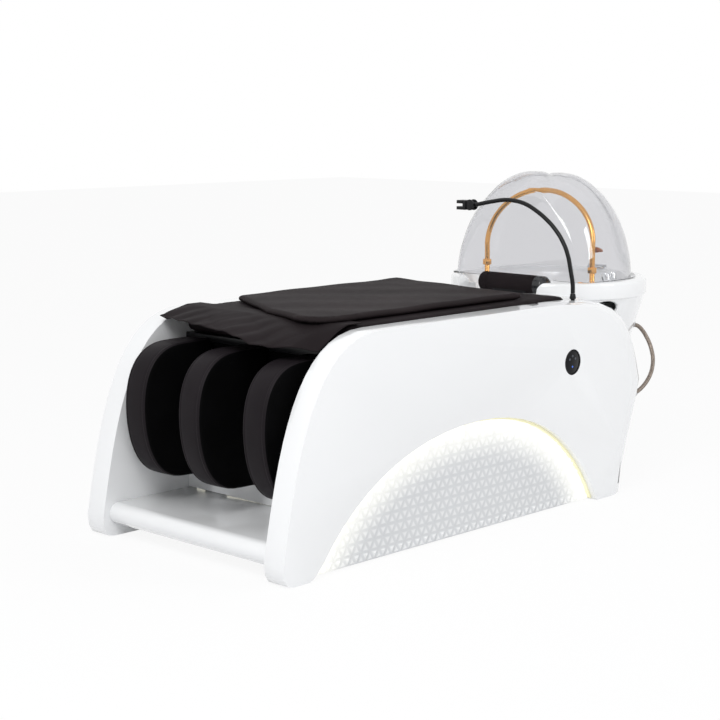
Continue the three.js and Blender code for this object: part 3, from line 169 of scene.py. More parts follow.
def leatherette(name, color, rough, cell=520.0, depth=0.00018, **sockets):
    """Coated cloth: small pebbles pressed into a soft skin."""
    material = finish(name, color, rough, vary=0.22, cloud=5.0, **sockets)
    tree = material.node_tree
    shader = tree.nodes["Principled BSDF"]
    coords = next(n for n in tree.nodes if n.type == "TEX_COORD").outputs["Object"]
    pebble = tree.nodes.new("ShaderNodeTexVoronoi")
    pebble.inputs["Scale"].default_value = cell
    tree.links.new(coords, pebble.inputs["Vector"])
    bumped(tree, shader, pebble.outputs["Distance"], 0.5, depth)
    return material


def glowing(material, face_tint_to_edge_shade, power):
    """Lets a finish give off a little light of its own."""
    shader = material.node_tree.nodes["Principled BSDF"]
    shader.inputs["Emission Color"].default_value = (*face_tint_to_edge_shade, 1)
    shader.inputs["Emission Strength"].default_value = power


print("finish makers ready")

# %% [markdown]
# The sides are glass fibre with a white gelcoat, and the basin is glazed. Both are a white base under a
# clear coat, as a sprayed mould gives. A pure white would lose its shading, so the base stays a bit below.

# %% White finishes
GELCOAT = finish("white_gelcoat", (0.87, 0.88, 0.89), 0.16, vary=0.012, cloud=1.2, grain=60, depth=0.0001,
                 strength=0.12, rough_vary=0.04, Coat_Weight=0.6, Coat_Roughness=0.05)
BASIN_WHITE = finish("basin_glaze", (0.87, 0.88, 0.89), 0.12, vary=0.012, cloud=2.0, grain=50, depth=0.0001,
                     strength=0.1, rough_vary=0.03, Coat_Weight=0.7, Coat_Roughness=0.04)
print("white finishes", GELCOAT.name, BASIN_WHITE.name)

# %% [markdown]
# The covers are black coated cloth, and the pads have velvet sides. Black cloth gives back very little
# light, so the highlights are turned down and the pebbled grain is left to show the form.

# %% Soft finishes
COVER = leatherette("cover_cloth", (0.0165, 0.0130, 0.0142), 0.6, Specular_IOR_Level=0.035)
MAT_COVER = leatherette("mat_cloth", (0.0205, 0.0160, 0.0170), 0.6, Specular_IOR_Level=0.035)
PAD_BAND = leatherette("pad_band", (0.0140, 0.0115, 0.0135), 0.5, cell=600, Specular_IOR_Level=0.06)
VELVET = finish("pad_velvet", (0.0018, 0.0018, 0.002), 0.9, vary=0.3, cloud=14, grain=1400, depth=0.0003,
                strength=0.6, Specular_IOR_Level=0.04)
GEL = finish("roll_gel", (0.02, 0.021, 0.024), 0.12, vary=0.5, cloud=30, grain=120, depth=0.0006,
             Specular_IOR_Level=0.5)
print("soft finishes", COVER.name, MAT_COVER.name, PAD_BAND.name, VELVET.name, GEL.name)

# %% [markdown]
# Fittings are black plastic, rubber, plated metal, paint and board. A metal takes its colour from its
# reflections, so its base colour is the colour that it reflects.

# %% Hard finishes
BLACK = finish("satin_black", (0.006, 0.006, 0.007), 0.34, vary=0.2, grain=900, depth=0.00004,
               Specular_IOR_Level=0.25)
GLOSS_BLACK = finish("gloss_black", (0.003, 0.003, 0.004), 0.12, vary=0.2, grain=40, depth=0.00002,
                     rough_vary=0.03, Specular_IOR_Level=0.15)
RUBBER = finish("foot_rubber", (0.015, 0.015, 0.015), 0.85, vary=0.25, grain=700, depth=0.0001)
GOLD = finish("gold_pipe", (0.83, 0.42, 0.11), 0.2, metal=1.0, vary=0.1, cloud=9, grain=500, depth=0.00002)
COPPER = finish("copper_wing", (0.42, 0.17, 0.09), 0.3, metal=1.0, vary=0.2, cloud=20, grain=500,
                depth=0.00003)
CHROME = finish("chrome", (0.80, 0.82, 0.83), 0.07, metal=1.0, vary=0.03, grain=300, depth=0.00001,
                rough_vary=0.03)
STEEL = finish("brushed_steel", (0.45, 0.45, 0.46), 0.32, metal=1.0, vary=0.08, grain=900, depth=0.00003)
FRAME_PAINT = finish("frame_paint", (0.04, 0.042, 0.045), 0.5, vary=0.15, grain=350, depth=0.0001)
BOARD = finish("raw_board", (0.42, 0.28, 0.15), 0.75, vary=0.25, cloud=30, grain=220, depth=0.0002)
GREY_CASE = finish("grey_case", (0.28, 0.29, 0.31), 0.5, vary=0.08, grain=800, depth=0.00008)
BRAID = finish("hose_braid", (0.23, 0.19, 0.16), 0.4, metal=0.5, vary=0.35, cloud=260, grain=900,
               depth=0.0003, strength=0.6)
print("hard finishes", BLACK.name, GOLD.name, CHROME.name, BRAID.name)

# %% [markdown]
# The touch disc has one blue light, and a warm strip runs round each arch. A low emission looks lit in a
# bright room, where a strong one would burn out to white.

# %% Lit finishes
BLUE_LIGHT = finish("blue_light", (0.05, 0.12, 0.5), 0.4, grain=200)
ICON_GREY = finish("icon_grey", (0.05, 0.055, 0.07), 0.5, grain=200)
glowing(BLUE_LIGHT, (0.10, 0.25, 0.9), 0.35)
LED = finish("led_strip", (0.80, 0.78, 0.55), 0.5, vary=0.03, grain=200)
glowing(LED, (1.0, 0.93, 0.58), 0.25)
print("lit finishes", BLUE_LIGHT.name, LED.name)

# %% [markdown]
# Clear acrylic is nearly invisible face on and darkens where it is seen edge on; the darkening is painted
# shade, a darker base colour that a layer weight picks by the angle of view. Shadow and diffuse rays pass
# straight through, so that the basin under the hood stays bright.

# %% Clear acrylic
CLEAR = finish("clear_acrylic", (0.80, 0.80, 0.815), 0.03, vary=0.01, cloud=2, grain=8, depth=0.0002,
               strength=0.15, rough_vary=0.015, Transmission_Weight=1.0, IOR=1.45)
# Face on, the acrylic keeps its own grey tint; edge on, it takes a painted shade.
CLEAR_TINT, EDGE_ON_PAINTED_SHADE = (0.82, 0.82, 0.835, 1), (0.30, 0.31, 0.33, 1)
tree = CLEAR.node_tree
clear_shader = tree.nodes["Principled BSDF"]
edge_on = tree.nodes.new("ShaderNodeLayerWeight")
edge_on.inputs["Blend"].default_value = 0.22
# This ramp paints shade where the acrylic is seen edge on.
face_tint_to_edge_shade = tree.nodes.new("ShaderNodeValToRGB")
for stop, place_on_ramp, colour in zip(face_tint_to_edge_shade.color_ramp.elements, (0.25, 0.95), (CLEAR_TINT, EDGE_ON_PAINTED_SHADE)):
    stop.position = place_on_ramp
    stop.color = colour
tree.links.new(edge_on.outputs["Facing"], face_tint_to_edge_shade.inputs["Fac"])
tree.links.new(face_tint_to_edge_shade.outputs["Color"], clear_shader.inputs["Base Color"])
rays = tree.nodes.new("ShaderNodeLightPath").outputs
lets_by = maths(tree, "MAXIMUM", rays["Is Shadow Ray"], rays["Is Diffuse Ray"])
through = tree.nodes.new("ShaderNodeBsdfTransparent")
through.inputs["Color"].default_value = (0.95, 0.95, 0.955, 1)
surface = next(n for n in tree.nodes if n.type == "OUTPUT_MATERIAL")
mixed(tree, lets_by, clear_shader, through, surface)
print("finishes", len(bpy.data.materials))
# %% [markdown]
# A moulded or machined piece keeps the size of its solid. Its triangles are merged back into whole faces,
# its sharp edges are rolled over with a small bevel, and its curves are shaded smooth.

# %% Piece helpers
SHARP = math.radians(33)
FLAT = math.radians(0.4)


def merged(node):
    """The node's solid as a bmesh with whole faces."""
    bm = bmesh.new()
    bm.from_mesh(NODES[node].data)
    bmesh.ops.remove_doubles(bm, verts=bm.verts, dist=0.00003)
    bmesh.ops.dissolve_limit(bm, angle_limit=FLAT, verts=bm.verts, edges=bm.edges)
    return bm


def roll_edges(bm, width, segments=2, sharp=SHARP, pick=None):
    """Bevels the sharp edges, all of them or those that pick accepts."""
    edges = [e for e in bm.edges if len(e.link_faces) == 2 and e.calc_face_angle(0) > sharp]
    if pick:
        edges = [e for e in edges if pick(e)]
    bmesh.ops.bevel(bm, geom=edges, offset=width, offset_type="OFFSET", segments=segments, profile=0.5,
                    affect="EDGES", clamp_overlap=True, material=-1)
    return bm


def piece(name, bm, body, material, replaced=()):
    """Makes the bmesh an object that rides on a body."""
    bmesh.ops.recalc_face_normals(bm, faces=bm.faces)
    mesh = bpy.data.meshes.new(name)
    bm.to_mesh(mesh)
    bm.free()
    mesh.shade_smooth()
    mesh.set_sharp_from_angle(angle=SHARP)
    made = bpy.data.objects.new(name, mesh)
    bpy.context.scene.collection.objects.link(made)
    for m in material if isinstance(material, list) else [material]:
        mesh.materials.append(m)
    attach(made, body)
    if replaced:
        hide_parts(*replaced)
    return made


def refined(node, material, width=0.0008, segments=2, pick=None):
    """The node's solid, with rolled edges."""
    bm = roll_edges(merged(node), width, segments, pick=pick)
    return piece(node + "_finished", bm, BODY_OF[node], material, [node])


print("piece helpers ready")

# %% [markdown]
# The sides are the largest mouldings. Their outer edges are rolled over widely, as a mould needs to let
# go, while the edge of the arch stays crisp. A bevel on picked edges gives each its own width.

# %% White mouldings
WIDE_ROLL = 0.016
ARCH_ROLL = 0.0025
SHELL_OUTER = 0.350
SHELL_INNER = 0.287
ON_FACE = 0.0005
FOOT_CURVE_END = FOOT_END + 0.26
ARCH_FROM, ARCH_TO, ARCH_ABOVE = FOOT_END + 0.085, FOOT_END + 1.17, 0.29


def shell_edge(edge, sign):
    """The edges of the outer face, and those of the inner face at the foot end."""
    middle = (edge.verts[0].co + edge.verts[1].co) / 2
    flat = min(abs(f.normal.y) for f in edge.link_faces) < 0.2
    on_outer = abs(middle.y * sign - SHELL_OUTER) < ON_FACE
    on_inner = abs(middle.y * sign - SHELL_INNER) < ON_FACE and middle.x < FOOT_CURVE_END
    arch = middle.z < ARCH_ABOVE and ARCH_FROM < middle.x < ARCH_TO
    return flat and (on_outer or on_inner) and not arch


def arch_edge(edge, sign):
    middle = (edge.verts[0].co + edge.verts[1].co) / 2
    return abs(middle.y * sign - SHELL_OUTER) < ON_FACE


for side, sign in (("right", -1), ("left", 1)):
    node = f"side_shell_{side}"
    bm = merged(node)
    roll_edges(bm, WIDE_ROLL, 4, sharp=math.radians(45), pick=lambda e: shell_edge(e, sign))
    roll_edges(bm, ARCH_ROLL, 2, sharp=math.radians(50), pick=lambda e: arch_edge(e, sign))
    shell = piece(node + "_finished", bm, "base", GELCOAT, [node])
    print(shell.name, len(shell.data.polygons), "faces")

# %% [markdown]
# Behind the calf pads stands a wall that closes the body. It is white down by the foot board and black
# velvet above it, which partly stands for painted shade between the pads, so one cut across the solid parts
# the two finishes.

# %% Foot end and basin
# Above this height the wall is black velvet, partly painted shade seen between the calf pads.
BLACK_AND_SHADE_FROM = 0.235
refined("foot_board", GELCOAT, 0.003, 3)
bm = roll_edges(merged("front_bulkhead"), 0.002)
bmesh.ops.bisect_plane(bm, geom=bm.verts[:] + bm.edges[:] + bm.faces[:], plane_co=(0, 0, BLACK_AND_SHADE_FROM),
                       plane_no=(0, 0, 1))
for face in bm.faces:
    face.material_index = 1 if face.calc_center_median().z > BLACK_AND_SHADE_FROM else 0
piece("front_bulkhead_finished", bm, "base", [GELCOAT, VELVET], ["front_bulkhead"])
refined("head_apron", GELCOAT, 0.003)
refined("basin_bowl", BASIN_WHITE, 0.002, 2)
refined("basin_pedestal", BASIN_WHITE, 0.001, 1)
print("foot end and basin ready")

# %% [markdown]
# The panels in the arches, which carry a painted glow, are moulded with a field of low three-sided
# pyramids. Three families of parallel cuts, sixty degrees apart, divide the face into triangles, and poking
# each one lifts its middle.

# %% Pyramid relief
TRIANGLE = 0.030
PYRAMID = 0.0055
ROW = TRIANGLE * math.sqrt(3) / 2
# The panel's glow is painted light: emission that fades over this distance from the rim.
PAINTED_GLOW_REACH = 0.12
PAINTED_GLOW_FADE = 1.3
ON_FRONT = 1e-4


def front_faces(bm, front_y):
    """The faces that lie on the panel's outer side."""
    flat = [f for f in bm.faces if abs(f.normal.y) > 0.9]
    return [f for f in flat if abs(f.calc_center_median().y - front_y) < ON_FRONT]


def cut_rows(bm, front_y, normal, rim, ends):
    """Cuts the outer side into rows across the normal."""
    reach = max(normal.dot(c) for c in rim)
    least = min(normal.dot(c) for c in rim + ends)
    for step in range(math.floor(least / ROW), math.ceil(reach / ROW) + 1):
        faces = front_faces(bm, front_y)
        edges = {e for f in faces for e in f.edges}
        bmesh.ops.bisect_plane(bm, geom=faces + list(edges), plane_co=normal * (step * ROW + 0.0004),
                               plane_no=normal, dist=1e-6)


def kept_on_points(made, name, values):
    layer = made.data.attributes.new(name, "FLOAT", "POINT")
    layer.data.foreach_set("value", values.astype(np.float32))


def arch_panel(side, sign):
    node = f"arch_panel_{side}"
    bm = merged(node)
    low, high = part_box(node)
    front_y = low.y if side == "right" else high.y
    rim = [v.co.copy() for f in front_faces(bm, front_y) for v in f.verts if v.co.z > low.z + 0.006]
    ends = [Vector((low.x, 0, 0)), Vector((high.x, 0, 0))]
    for angle in (0, 60, 120):
        normal = Vector((math.sin(math.radians(angle)), 0, math.cos(math.radians(angle))))
        cut_rows(bm, front_y, normal, rim, ends)
    cells = [f for f in front_faces(bm, front_y) if f.calc_area() > 0.25 * TRIANGLE * ROW / 2]
    bmesh.ops.poke(bm, faces=cells, offset=PYRAMID, center_mode="MEAN_WEIGHTED")
    made = piece(node + "_finished", bm, "base", PANEL_PAINTED_GLOW, [node])
    made.data.set_sharp_from_angle(angle=math.radians(3))
    spots = np.array([v.co for v in made.data.vertices])
    outline = np.array([[c.x, c.z] for c in rim])
    # How near each point lies to the rim sets the strength of the painted glow.
    gaps = spots[:, None, [0, 2]] - outline[None, :, :]
    near = np.sqrt((gaps ** 2).sum(2)).min(1)
    kept_on_points(made, "painted_glow", np.clip(1 - near / PAINTED_GLOW_REACH, 0, 1) ** PAINTED_GLOW_FADE)
    # How high each point stands sets its painted light and painted shade.
    raised = spots[:, 1] * sign > front_y * sign + ON_FRONT
    kept_on_points(made, "tip", np.where(raised, np.abs(spots[:, 1] - front_y) / PYRAMID, 0))
    print(node, len(cells), "pyramids")


# %% [markdown]
# The light from the strip is painted onto the panel: it glows of itself near the rim and the glow fades
# inwards, and the tips of the pyramids are painted lighter than the valleys, as painted light and painted
# shade.
# Two values kept on the mesh's points say how near the rim and how high each one is.

# %% Panels with painted glow
# Strength of the glow painted on the panel near its rim.
PANEL_PAINTED_LIGHT = 0.75
# Painted shade for the valleys and painted light for the tips of the pyramids.
VALLEY_PAINTED_SHADE, TIP_PAINTED_LIGHT = (0.70, 0.715, 0.73), (0.86, 0.87, 0.88)
PANEL_PAINTED_GLOW = finish("arch_panel_painted_light", (0.74, 0.765, 0.79), 0.3, vary=0.02, cloud=2, grain=60,
                    depth=0.0001)
tree = PANEL_PAINTED_GLOW.node_tree
panel_shader = tree.nodes["Principled BSDF"]


def point_value(name):
    reader = tree.nodes.new("ShaderNodeAttribute")
    reader.attribute_name = name
    return reader.outputs["Fac"]


# The painted glow: emission on the panel, which is no lamp, fading away from the rim.
light = maths(tree, "MULTIPLY", point_value("painted_glow"), PANEL_PAINTED_LIGHT)
tree.links.new(light, panel_shader.inputs["Emission Strength"])
panel_shader.inputs["Emission Color"].default_value = (1.0, 0.98, 0.84, 1)
# The tips are painted lighter and the valleys painted darker.
tree.links.new(shade_between(tree, point_value("tip"), VALLEY_PAINTED_SHADE, TIP_PAINTED_LIGHT),
               panel_shader.inputs["Base Color"])
for side, sign in (("right", -1), ("left", 1)):
    arch_panel(side, sign)
    refined(f"led_strip_{side}", LED, 0.0005, 1)

# %% [markdown]
# Calf pads are boards wrapped in foam. A band of leatherette runs round the edge and a velvety panel
# is sewn to each side, so there is a pulled-in seam where the two meet.

# %% Calf pads
PAD_SEAM = 0.0275
SEAM_PULL = 0.0022
SEAM_STEP = 0.0014
PAD_ROLL = 0.0125
BAND_HALF = 0.0352
CROWN_RINGS = ((0.022, 0.0022), (0.028, 0.0016), (0.03, 0.0008))  # width and rise of each ring


def calf_pad(which):
    node = f"calf_pad_{which}"
    low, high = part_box(node)
    middle = (low + high) / 2
    bm = merged(node)
    roll_edges(bm, PAD_ROLL, 4, sharp=math.radians(50))
    for side in (-1, 1):
        for shift in (-SEAM_STEP, 0, SEAM_STEP):
            geom = bm.verts[:] + bm.edges[:] + bm.faces[:]
            plane = Vector((0, middle.y + side * PAD_SEAM + shift, 0))
            bmesh.ops.bisect_plane(bm, geom=geom, plane_co=plane, plane_no=(0, 1, 0), dist=1e-6)
    bm.normal_update()
    seam = [v for v in bm.verts if abs(abs(v.co.y - middle.y) - PAD_SEAM) < 1e-5]
    for v in seam:
        v.co -= v.normal * SEAM_PULL
    for thickness, depth in CROWN_RINGS:
        sides = [f for f in bm.faces if abs(f.normal.y) > 0.99 and f.calc_area() > 0.008
                 and abs(abs(f.calc_center_median().y - middle.y) - (high.y - low.y) / 2) < 0.008]
        bmesh.ops.inset_individual(bm, faces=sides, thickness=thickness, depth=depth, use_even_offset=True)
    for f in bm.faces:
        f.material_index = 1 if abs(f.calc_center_median().y - middle.y) > BAND_HALF else 0
    made = piece(node + "_cushion", bm, "base", [PAD_BAND, VELVET], [node])
    rounded = made.modifiers.new("soften", "SUBSURF")
    rounded.levels = rounded.render_levels = 1
    return made


for which in ("right", "middle", "left"):
    made = calf_pad(which)
    print(made.name, len(made.data.polygons), "faces")
    refined(f"calf_bracket_{which}", STEEL, 0.001)

# %% [markdown]
# The mattress is a thick foam block under a tight cover, and a thin mat lies loose on it. Both are
# shrunk a little, remeshed to an even net and blown up by a short cloth simulation, which crowns them
# the way foam fills its cover. A cap on the movement keeps them off their neighbours.


# %% Cushion simulation
def only(made):
    bpy.ops.object.select_all(action="DESELECT")
    made.select_set(True)
    bpy.context.view_layer.objects.active = made


def puffed(made, voxel, pressure, cap, frames=20):
    """Remeshes a piece and swells it by at most cap metres."""
    only(made)
    remesh = made.modifiers.new("net", "REMESH")
    remesh.mode = "VOXEL"
    remesh.voxel_size = voxel
    remesh.use_smooth_shade = True
    bpy.ops.object.modifier_apply(modifier=remesh.name)
    start = np.array([v.co for v in made.data.vertices])
    cloth = made.modifiers.new("foam", "CLOTH")
    cloth.settings.use_pressure = True
    cloth.settings.uniform_pressure_force = pressure
    cloth.settings.effector_weights.gravity = 0
    cloth.settings.quality = 4
    cloth.collision_settings.use_collision = False
    cloth.point_cache.frame_start = 1
    cloth.point_cache.frame_end = frames
    for step in range(1, frames + 1):
        bpy.context.scene.frame_set(step)
    only(made)
    bpy.ops.object.modifier_apply(modifier=cloth.name)
    bpy.context.scene.frame_set(1)
    now = np.array([v.co for v in made.data.vertices])
    shift = now - start
    size = np.linalg.norm(shift, axis=1, keepdims=True)
    limited = start + shift * np.minimum(1, cap / np.maximum(size, 1e-9))
    made.data.vertices.foreach_set("co", limited.astype(np.float32).ravel())
    made.data.update()
    print(made.name, "moved up to", round(float(np.minimum(size, cap).max()) * 1000, 1), "mm")


def soft_block(node, name, shrink, roll, material):
    bm = merged(node)
    low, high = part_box(node)
    middle = (low + high) / 2
    roll_edges(bm, roll, 4, sharp=math.radians(40))
    half = (high - low) / 2
    scale = [(h - shrink) / h for h in half]
    bmesh.ops.scale(bm, verts=bm.verts, vec=scale, space=Matrix.Translation(-middle))
    made = piece(name, bm, "base", material, [node])
    made.data.shade_smooth()
    return made


def rippled(made, height, wave, seed):
    """Adds slow folds, up and down only."""
    co = np.array([v.co for v in made.data.vertices])
    x, y = co[:, 0], co[:, 1]
    slow = np.sin(x * wave + seed) * np.sin(y * wave * 1.3 + 2 * seed)
    slow += 0.5 * np.sin((x + y) * wave * 2.1 + seed * 3)
    co[:, 2] += slow * height
    made.data.vertices.foreach_set("co", co.astype(np.float32).ravel())
    made.data.update()


mattress = soft_block("mattress", "mattress_cushion", 0.002, 0.012, COVER)
puffed(mattress, 0.006, 3.0, 0.003)
mat = soft_block("top_mat", "top_mat_cushion", 0.0015, 0.006, MAT_COVER)
puffed(mat, 0.004, 3.0, 0.003)
rippled(mat, 0.0012, 14, 0.7)

# %% [markdown]
# The loose end of the cover is a sheet of cloth. It lies flat on the mattress and hangs forward over the
# calf pads, higher on the left than on the right, with soft folds running to its hem.

# %% Cover flap
FLAP_ROWS = 40
FLAP_COLUMNS = 110
HEM_Y = [-284, -241, -125, -9, 97, 186, 240, 284]
HEM_X = [176, 130, 112, 132, 148, 165, 182, 186]
HEM_Z = [503, 507, 510, 524, 529, 531, 529, 529]
FLAP_START_X = 318
FLAP_HALF = 284
FLAP_FLAT = 0.32
FOLD, CREASE = 2.4, 4.2
CLOTH_THICKNESS = 0.0018
flap_z = (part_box("mattress")[1].z + 0.0035) * 1000


def cover_flap():
    bm = bmesh.new()
    bmesh.ops.create_grid(bm, x_segments=FLAP_COLUMNS, y_segments=FLAP_ROWS, size=0.5)
    for v in bm.verts:
        across, down = v.co.x + 0.5, v.co.y + 0.5
        y = -FLAP_HALF + 2 * FLAP_HALF * across
        hem_x, hem_z = np.interp(y, HEM_Y, HEM_X), np.interp(y, HEM_Y, HEM_Z)
        x = FLAP_START_X + (hem_x - FLAP_START_X) * down
        fall = max(0.0, (down - FLAP_FLAT) / (1 - FLAP_FLAT))
        z = flap_z + (hem_z - flap_z) * fall ** 1.3
        fold = math.sin(y * 0.026 + 2.6 * math.sin(x * 0.017)) + 0.5 * math.sin(y * 0.071 + x * 0.06)
        crease = abs(math.sin(y * 0.019 - x * 0.031 + 0.8)) ** 0.6
        crease += 0.5 * abs(math.sin(y * 0.047 + x * 0.022))
        z += FOLD * fold * fall ** 0.8 + CREASE * (crease - 0.9) * fall ** 0.7
        v.co = place(x, y, z)
    made = piece("cover_flap_cloth", bm, "base", COVER, ["cover_flap"])
    made.data.shade_smooth()
    thick = made.modifiers.new("cloth", "SOLIDIFY")
    thick.thickness = CLOTH_THICKNESS
    thick.offset = 0
    return made


flap = cover_flap()
area = sum(f.area for f in flap.data.polygons)
print("cover flap area", round(area, 4), "m2, length", round(area / (2 * FLAP_HALF * MM), 4))

# %% [markdown]
# The neck roll is foam in a tight sleeve, with a stitched ring near each end and a gel pad on the near
# end. A cylinder with rounded ends is cut at the stitches, and the cut points are pulled in.

# %% Neck roll
STITCH_Y = 0.082
STITCH_STEP = 0.0015
STITCH_PULL = 0.0015
GEL_FROM = -0.0835


def neck_roll():
    low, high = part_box("neck_roll")
    middle = (low + high) / 2
    radius = (high.z - low.z) / 2
    bm = bmesh.new()
    turn = Matrix.Translation(middle) @ Matrix.Rotation(math.pi / 2, 4, "X")
    bmesh.ops.create_cone(bm, cap_ends=True, segments=48, radius1=radius, radius2=radius,
                          depth=high.y - low.y, matrix=turn)
    roll_edges(bm, 0.009, 4)
    for place_y in (-STITCH_Y, STITCH_Y):
        for shift in (-STITCH_STEP, 0, STITCH_STEP):
            geom = bm.verts[:] + bm.edges[:] + bm.faces[:]
            bmesh.ops.bisect_plane(bm, geom=geom, plane_co=(0, place_y + shift, 0), plane_no=(0, 1, 0))
    bm.normal_update()
    for v in bm.verts:
        if min(abs(v.co.y - s) for s in (-STITCH_Y, STITCH_Y)) < 1e-5:
            v.co -= v.normal * STITCH_PULL
    for f in bm.faces:
        f.material_index = 1 if f.calc_center_median().y < GEL_FROM else 0
    return piece("neck_roll_cushion", bm, "base", [COVER, GEL], ["neck_roll"])


roll = neck_roll()
print(roll.name, len(roll.data.polygons), "faces")

# %% [markdown]
# Bent pipes are curves with a round section, because a pipe keeps its width round every bend. The gold
# ring sprays the scalp, the black gooseneck holds a clip, and the braided hose joins bed and pedestal.


# %% Pipes
def pipe(name, points, radius, body, material, replaced, steps=6):
    """A round pipe that runs smoothly through points given in millimetres from the foot end."""
    data = bpy.data.curves.new(name, "CURVE")
    data.dimensions = "3D"
    data.bevel_depth = radius * MM
    data.bevel_resolution = 6
    data.use_fill_caps = True
    data.resolution_u = steps
    line = data.splines.new("BEZIER")
    line.bezier_points.add(len(points) - 1)
    for spot, point in zip(line.bezier_points, points):
        spot.co = place(*point)
        spot.handle_left_type = spot.handle_right_type = "AUTO"
    made = bpy.data.objects.new(name, data)
    bpy.context.scene.collection.objects.link(made)
    data.materials.append(material)
    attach(made, body)
    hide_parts(*replaced)
    return made


RING_X, RING_HALF, RING_LEAN = 1339, 187, 22
RING_FOOT, RING_SPRING, RING_TOP = 593, 655, 808
RING_TUBE, ARM_TUBE, HOSE_TUBE = 7.3, 5.8, 5.8
ring_points = [(RING_X, -RING_HALF, RING_FOOT), (RING_X, -RING_HALF, (RING_FOOT + RING_SPRING) / 2)]
for step in range(17):
    turn = math.pi * step / 16
    lift = math.sin(turn)
    ring_points.append((RING_X + RING_LEAN * lift, -RING_HALF * math.cos(turn),
                        RING_SPRING + (RING_TOP - RING_SPRING) * lift))
ring_points += [(RING_X, RING_HALF, (RING_FOOT + RING_SPRING) / 2), (RING_X, RING_HALF, RING_FOOT)]
pipe("water_ring_pipe", ring_points, RING_TUBE, "base", GOLD, ["water_ring"])
ARM_X = 1098
arm_points = [(ARM_X, y, z) for y, z in (
    (-301, 558), (-300, 582), (-293, 615), (-282, 658), (-266, 690), (-241, 721), (-209, 748),
    (-173, 770), (-139, 785), (-104, 792), (-68, 793), (-25, 787), (32, 776))]
pipe("gooseneck_pipe", arm_points, ARM_TUBE, "arm", BLACK, ["gooseneck_arm"])
print("ring through", len(ring_points), "points, gooseneck through", len(arm_points))

# %% [markdown]
# The braided hose comes out of the pedestal, bows out past the bed's rear corner and goes into that corner
# lower down. It is short and stiff, so it holds one wide bend in the air between its two fittings.

# %% Supply hose
HOSE = [(1523, -207, 425), (1529, -214, 422), (1537, -224, 410), (1541, -235, 393), (1541, -247, 374),
        (1537, -258, 354), (1529, -268, 334), (1516, -276, 314), (1499, -282, 296), (1479, -285, 279),
        (1457, -286, 265), (1437, -285, 255), (1421, -284, 250)]
hose = pipe("supply_hose_braid", HOSE, HOSE_TUBE, "base", BRAID, ["supply_hose"], steps=8)
print("hose through", len(HOSE), "points")

# %% [markdown]
# The hood is a clear acrylic dome with four soft lobes. A sphere is cut in half, stretched over the basin,
# pressed in along its diagonals and cut flat at the front. A wall is then given to it.

# %% Hood
HOOD_RADIUS, HOOD_SQUASH, HOOD_HEIGHT = 243 * MM, 0.909, 298 * MM
HOOD_X, HOOD_Y, HOOD_Z = HOOD_RADIUS * HOOD_SQUASH, HOOD_RADIUS, HOOD_HEIGHT
HOOD_CENTRE = 1383
FLANGE = 1.05
HOOD_WALL = 0.003
HOOD_FRONT = FOOT_END + 1.2347
FRONT_ROUND = 0.0045
VALLEY, DIMPLE = 0.045, 0.052
OPENING_HALF, OPENING_TOP = 0.170, 0.822


def hood_spot(d):
    """Where a direction from the rim's centre meets the hood."""
    side = math.hypot(d.y / HOOD_Y, d.z / HOOD_Z)
    length = abs(d.x) / HOOD_X
    power = 3 if d.x < 0 else 2
    reach = (length ** power + side ** power) ** (-1 / power)
    flat = math.hypot(d.x, d.y)
    groove = 0 if flat < 1e-6 else abs(2 * d.x * d.y / flat ** 2) ** 9
    fade = min(1.0, max(0.0, d.z / 0.35)) * min(1.0, flat / 0.30)
    dip = math.exp(-((flat / 0.18) ** 2))
    return d * reach * (1 - VALLEY * groove * fade - DIMPLE * dip)


def pressed(x):
    """Holds the front flat, with a rounded corner round it."""
    return HOOD_FRONT + FRONT_ROUND * math.log1p(math.exp((x - HOOD_FRONT) / FRONT_ROUND))


def opening_cutter():
    """A block of the shape of the neck opening."""
    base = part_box("hood_shell")[0].z
    shoulder = base + (OPENING_TOP - base) * 0.75
    right = []
    for step in range(17):
        t = step / 16
        weights = ((1 - t) ** 3, 3 * t * (1 - t) ** 2, 3 * t * t * (1 - t), t ** 3)
        ys = (-OPENING_HALF, -OPENING_HALF + 0.008, -0.095, 0)
        zs = (base - 0.01, shoulder, OPENING_TOP, OPENING_TOP)
        right.append((sum(w * y for w, y in zip(weights, ys)), sum(w * z for w, z in zip(weights, zs))))
    outline = right + [(-y, z) for y, z in right[-2::-1]]
    bm = bmesh.new()
    front = bm.faces.new([bm.verts.new((HOOD_FRONT - 0.03, y, z)) for y, z in outline])
    grown = bmesh.ops.extrude_face_region(bm, geom=[front])["geom"]
    moved = [g for g in grown if isinstance(g, bmesh.types.BMVert)]
    bmesh.ops.translate(bm, verts=moved, vec=(0.045, 0, 0))
    bmesh.ops.recalc_face_normals(bm, faces=bm.faces)
    mesh = bpy.data.meshes.new("opening_cutter")
    bm.to_mesh(mesh)
    bm.free()
    cutter = bpy.data.objects.new("opening_cutter", mesh)
    bpy.context.scene.collection.objects.link(cutter)
    return cutter


